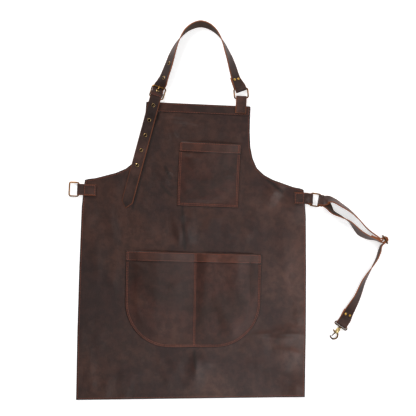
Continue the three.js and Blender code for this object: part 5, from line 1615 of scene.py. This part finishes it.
def make_stage(looks):
    scene = bpy.context.scene
    scene.view_settings.view_transform = "Standard"
    scene.view_settings.look = "None"
    bm = bmesh.new()
    bmesh.ops.create_grid(bm, x_segments=8, y_segments=8, size=FLOOR_HALF)
    bmesh.ops.translate(bm, verts=bm.verts, vec=(0, 0, -FLOOR_DROP))
    mesh = bpy.data.meshes.new("floor")
    bm.to_mesh(mesh)
    bm.free()
    mesh.materials.append(light_table("white acrylic light table", tuple(looks.floor), looks.glow))
    add_object("floor", mesh)

    world = bpy.data.worlds.new("studio")
    world.use_nodes = True
    world.node_tree.nodes["Background"].inputs["Color"].default_value = (1, 1, 1, 1)
    world.node_tree.nodes["Background"].inputs["Strength"].default_value = looks.ambient
    scene.world = world

    for name, place, aim, size, share in SOFTBOXES:
        light = bpy.data.lights.new(name, "AREA")
        light.shape = "SQUARE"
        light.size = size
        light.energy = looks.key * share
        lamp = add_object(name, light)
        lamp.location = place
        lamp.rotation_euler = (Vector(aim) - Vector(place)).to_track_quat("-Z", "Y").to_euler()

    camera = bpy.data.cameras.new("camera")
    camera.sensor_width = SENSOR
    camera.lens = SENSOR * CAMERA_HEIGHT / (PIXELS * PIXEL_MM * MM)
    camera.clip_end = 50
    scene.camera = add_object("camera", camera)
    scene.camera.location = (FRAME_CENTRE.x * MM, FRAME_CENTRE.y * MM, CAMERA_HEIGHT)


# The add-on


class ApronLooks(bpy.types.PropertyGroup):
    """Colours and light."""

    hide: FloatVectorProperty(name="Hide", description="Colour of the waxed front", subtype="COLOR", size=3,
                              min=0, max=1, default=srgb("39221b"))
    band: FloatVectorProperty(name="Bands", description="Colour of the folded bands", subtype="COLOR", size=3,
                              min=0, max=1, default=srgb("46251a"))
    cut_edge: FloatVectorProperty(name="Cut edge", description="Colour of the straps' cut edges", subtype="COLOR",
                                  size=3, min=0, max=1, default=srgb("8a4a20"))
    thread: FloatVectorProperty(name="Thread", description="Colour of the sewing thread", subtype="COLOR", size=3,
                                min=0, max=1, default=srgb("96492e"))
    floor: FloatVectorProperty(name="Floor", description="Colour of the floor", subtype="COLOR", size=3,
                               min=0, max=1, default=(0.93, 0.93, 0.93))
    glow: FloatProperty(name="Table glow", description="Light that the table itself gives", default=0.5, min=0)
    ambient: FloatProperty(name="Ambient", description="Strength of the room's light", default=0.2, min=0)
    key: FloatProperty(name="Key light", description="Power of the main softbox", default=95, min=0, unit="POWER")


class ApronSizes(bpy.types.PropertyGroup):
    """Sizes of the sewing."""

    stitch_pitch: FloatProperty(name="Stitch pitch", description="From stitch to stitch", default=0.0044,
                                min=0.001, subtype="DISTANCE", unit="LENGTH")
    stitch_length: FloatProperty(name="Stitch length", description="Length of one stitch", default=0.0036,
                                 min=0.0005, subtype="DISTANCE", unit="LENGTH")
    thread_width: FloatProperty(name="Thread", description="Thickness of the thread", default=0.001,
                                min=0.0002, subtype="DISTANCE", unit="LENGTH")
    seam_inset: FloatProperty(name="Seam inset", description="From the edge to its stitches", default=0.004,
                              min=0.001, subtype="DISTANCE", unit="LENGTH")


class APRON_OT_stage(bpy.types.Operator):
    """Make the floor, the softboxes and the camera"""

    bl_idname = "apron.stage"
    bl_label = "Stage"

    def execute(self, context):
        make_stage(context.scene.apron_looks)
        return {"FINISHED"}


class APRON_OT_finishes(bpy.types.Operator):
    """Make the leather, thread and brass materials"""

    bl_idname = "apron.finishes"
    bl_label = "Leather and brass"

    def execute(self, context):
        make_materials(context.scene.apron_looks)
        return {"FINISHED"}


class APRON_OT_front(bpy.types.Operator):
    """Model the front hide and the band across the bib"""

    bl_idname = "apron.front"
    bl_label = "Front"

    def execute(self, context):
        make_panel()
        make_bib_band()
        return {"FINISHED"}


class APRON_OT_pockets(bpy.types.Operator):
    """Model the chest pocket and the divided hip pocket with their bands"""

    bl_idname = "apron.pockets"
    bl_label = "Pockets"

    def execute(self, context):
        make_chest_pocket()
        make_hip_pocket()
        return {"FINISHED"}


class APRON_OT_straps(bpy.types.Operator):
    """Model the neck strap, the waist strap, the tabs and the keeper"""

    bl_idname = "apron.straps"
    bl_label = "Straps and tabs"

    def execute(self, context):
        make_neck_strap()
        make_waist_strap()
        make_tabs()
        make_keeper()
        return {"FINISHED"}


class APRON_OT_hardware(bpy.types.Operator):
    """Model the rings, buckle, eyelets, rivets and slider"""

    bl_idname = "apron.hardware"
    bl_label = "Rings, buckle and eyelets"

    def execute(self, context):
        make_rings()
        make_buckle()
        make_eyelets()
        make_rivets()
        make_slider()
        return {"FINISHED"}


class APRON_OT_hook(bpy.types.Operator):
    """Model the swivel and the snap hook"""

    bl_idname = "apron.hook"
    bl_label = "Snap hook"

    def execute(self, context):
        make_swivel()
        make_hook()
        return {"FINISHED"}


class APRON_OT_stitching(bpy.types.Operator):
    """Sew the edges, bands, pockets and tabs"""

    bl_idname = "apron.stitching"
    bl_label = "Stitching"

    def execute(self, context):
        make_stitching(context.scene.apron_sizes)
        return {"FINISHED"}


class APRON_PT_sidebar(bpy.types.Panel):
    """Lists the apron's steps, sizes and colours"""

    bl_idname = "APRON_PT_sidebar"
    bl_label = "Leather work apron"
    bl_space_type = "VIEW_3D"
    bl_region_type = "UI"
    bl_category = "Apron"

    def draw(self, context):
        for step in STEPS:
            self.layout.operator(step.bl_idname)
        for group in (context.scene.apron_looks, context.scene.apron_sizes):
            for name in group.__annotations__:
                self.layout.prop(group, name)


STEPS = (APRON_OT_stage, APRON_OT_finishes, APRON_OT_front, APRON_OT_pockets, APRON_OT_straps, APRON_OT_hardware,
         APRON_OT_hook, APRON_OT_stitching)
CLASSES = (ApronLooks, ApronSizes, *STEPS, APRON_PT_sidebar)


def register():
    for made in CLASSES:
        bpy.utils.register_class(made)
    bpy.types.Scene.apron_looks = PointerProperty(type=ApronLooks)
    bpy.types.Scene.apron_sizes = PointerProperty(type=ApronSizes)


def unregister():
    del bpy.types.Scene.apron_sizes
    del bpy.types.Scene.apron_looks
    for made in reversed(CLASSES):
        bpy.utils.unregister_class(made)


def main():
    register()
    bpy.ops.apron.stage()
    bpy.ops.apron.finishes()
    bpy.ops.apron.front()
    bpy.ops.apron.pockets()
    bpy.ops.apron.straps()
    bpy.ops.apron.hardware()
    bpy.ops.apron.hook()
    bpy.ops.apron.stitching()


if __name__ == "__main__":
    main()
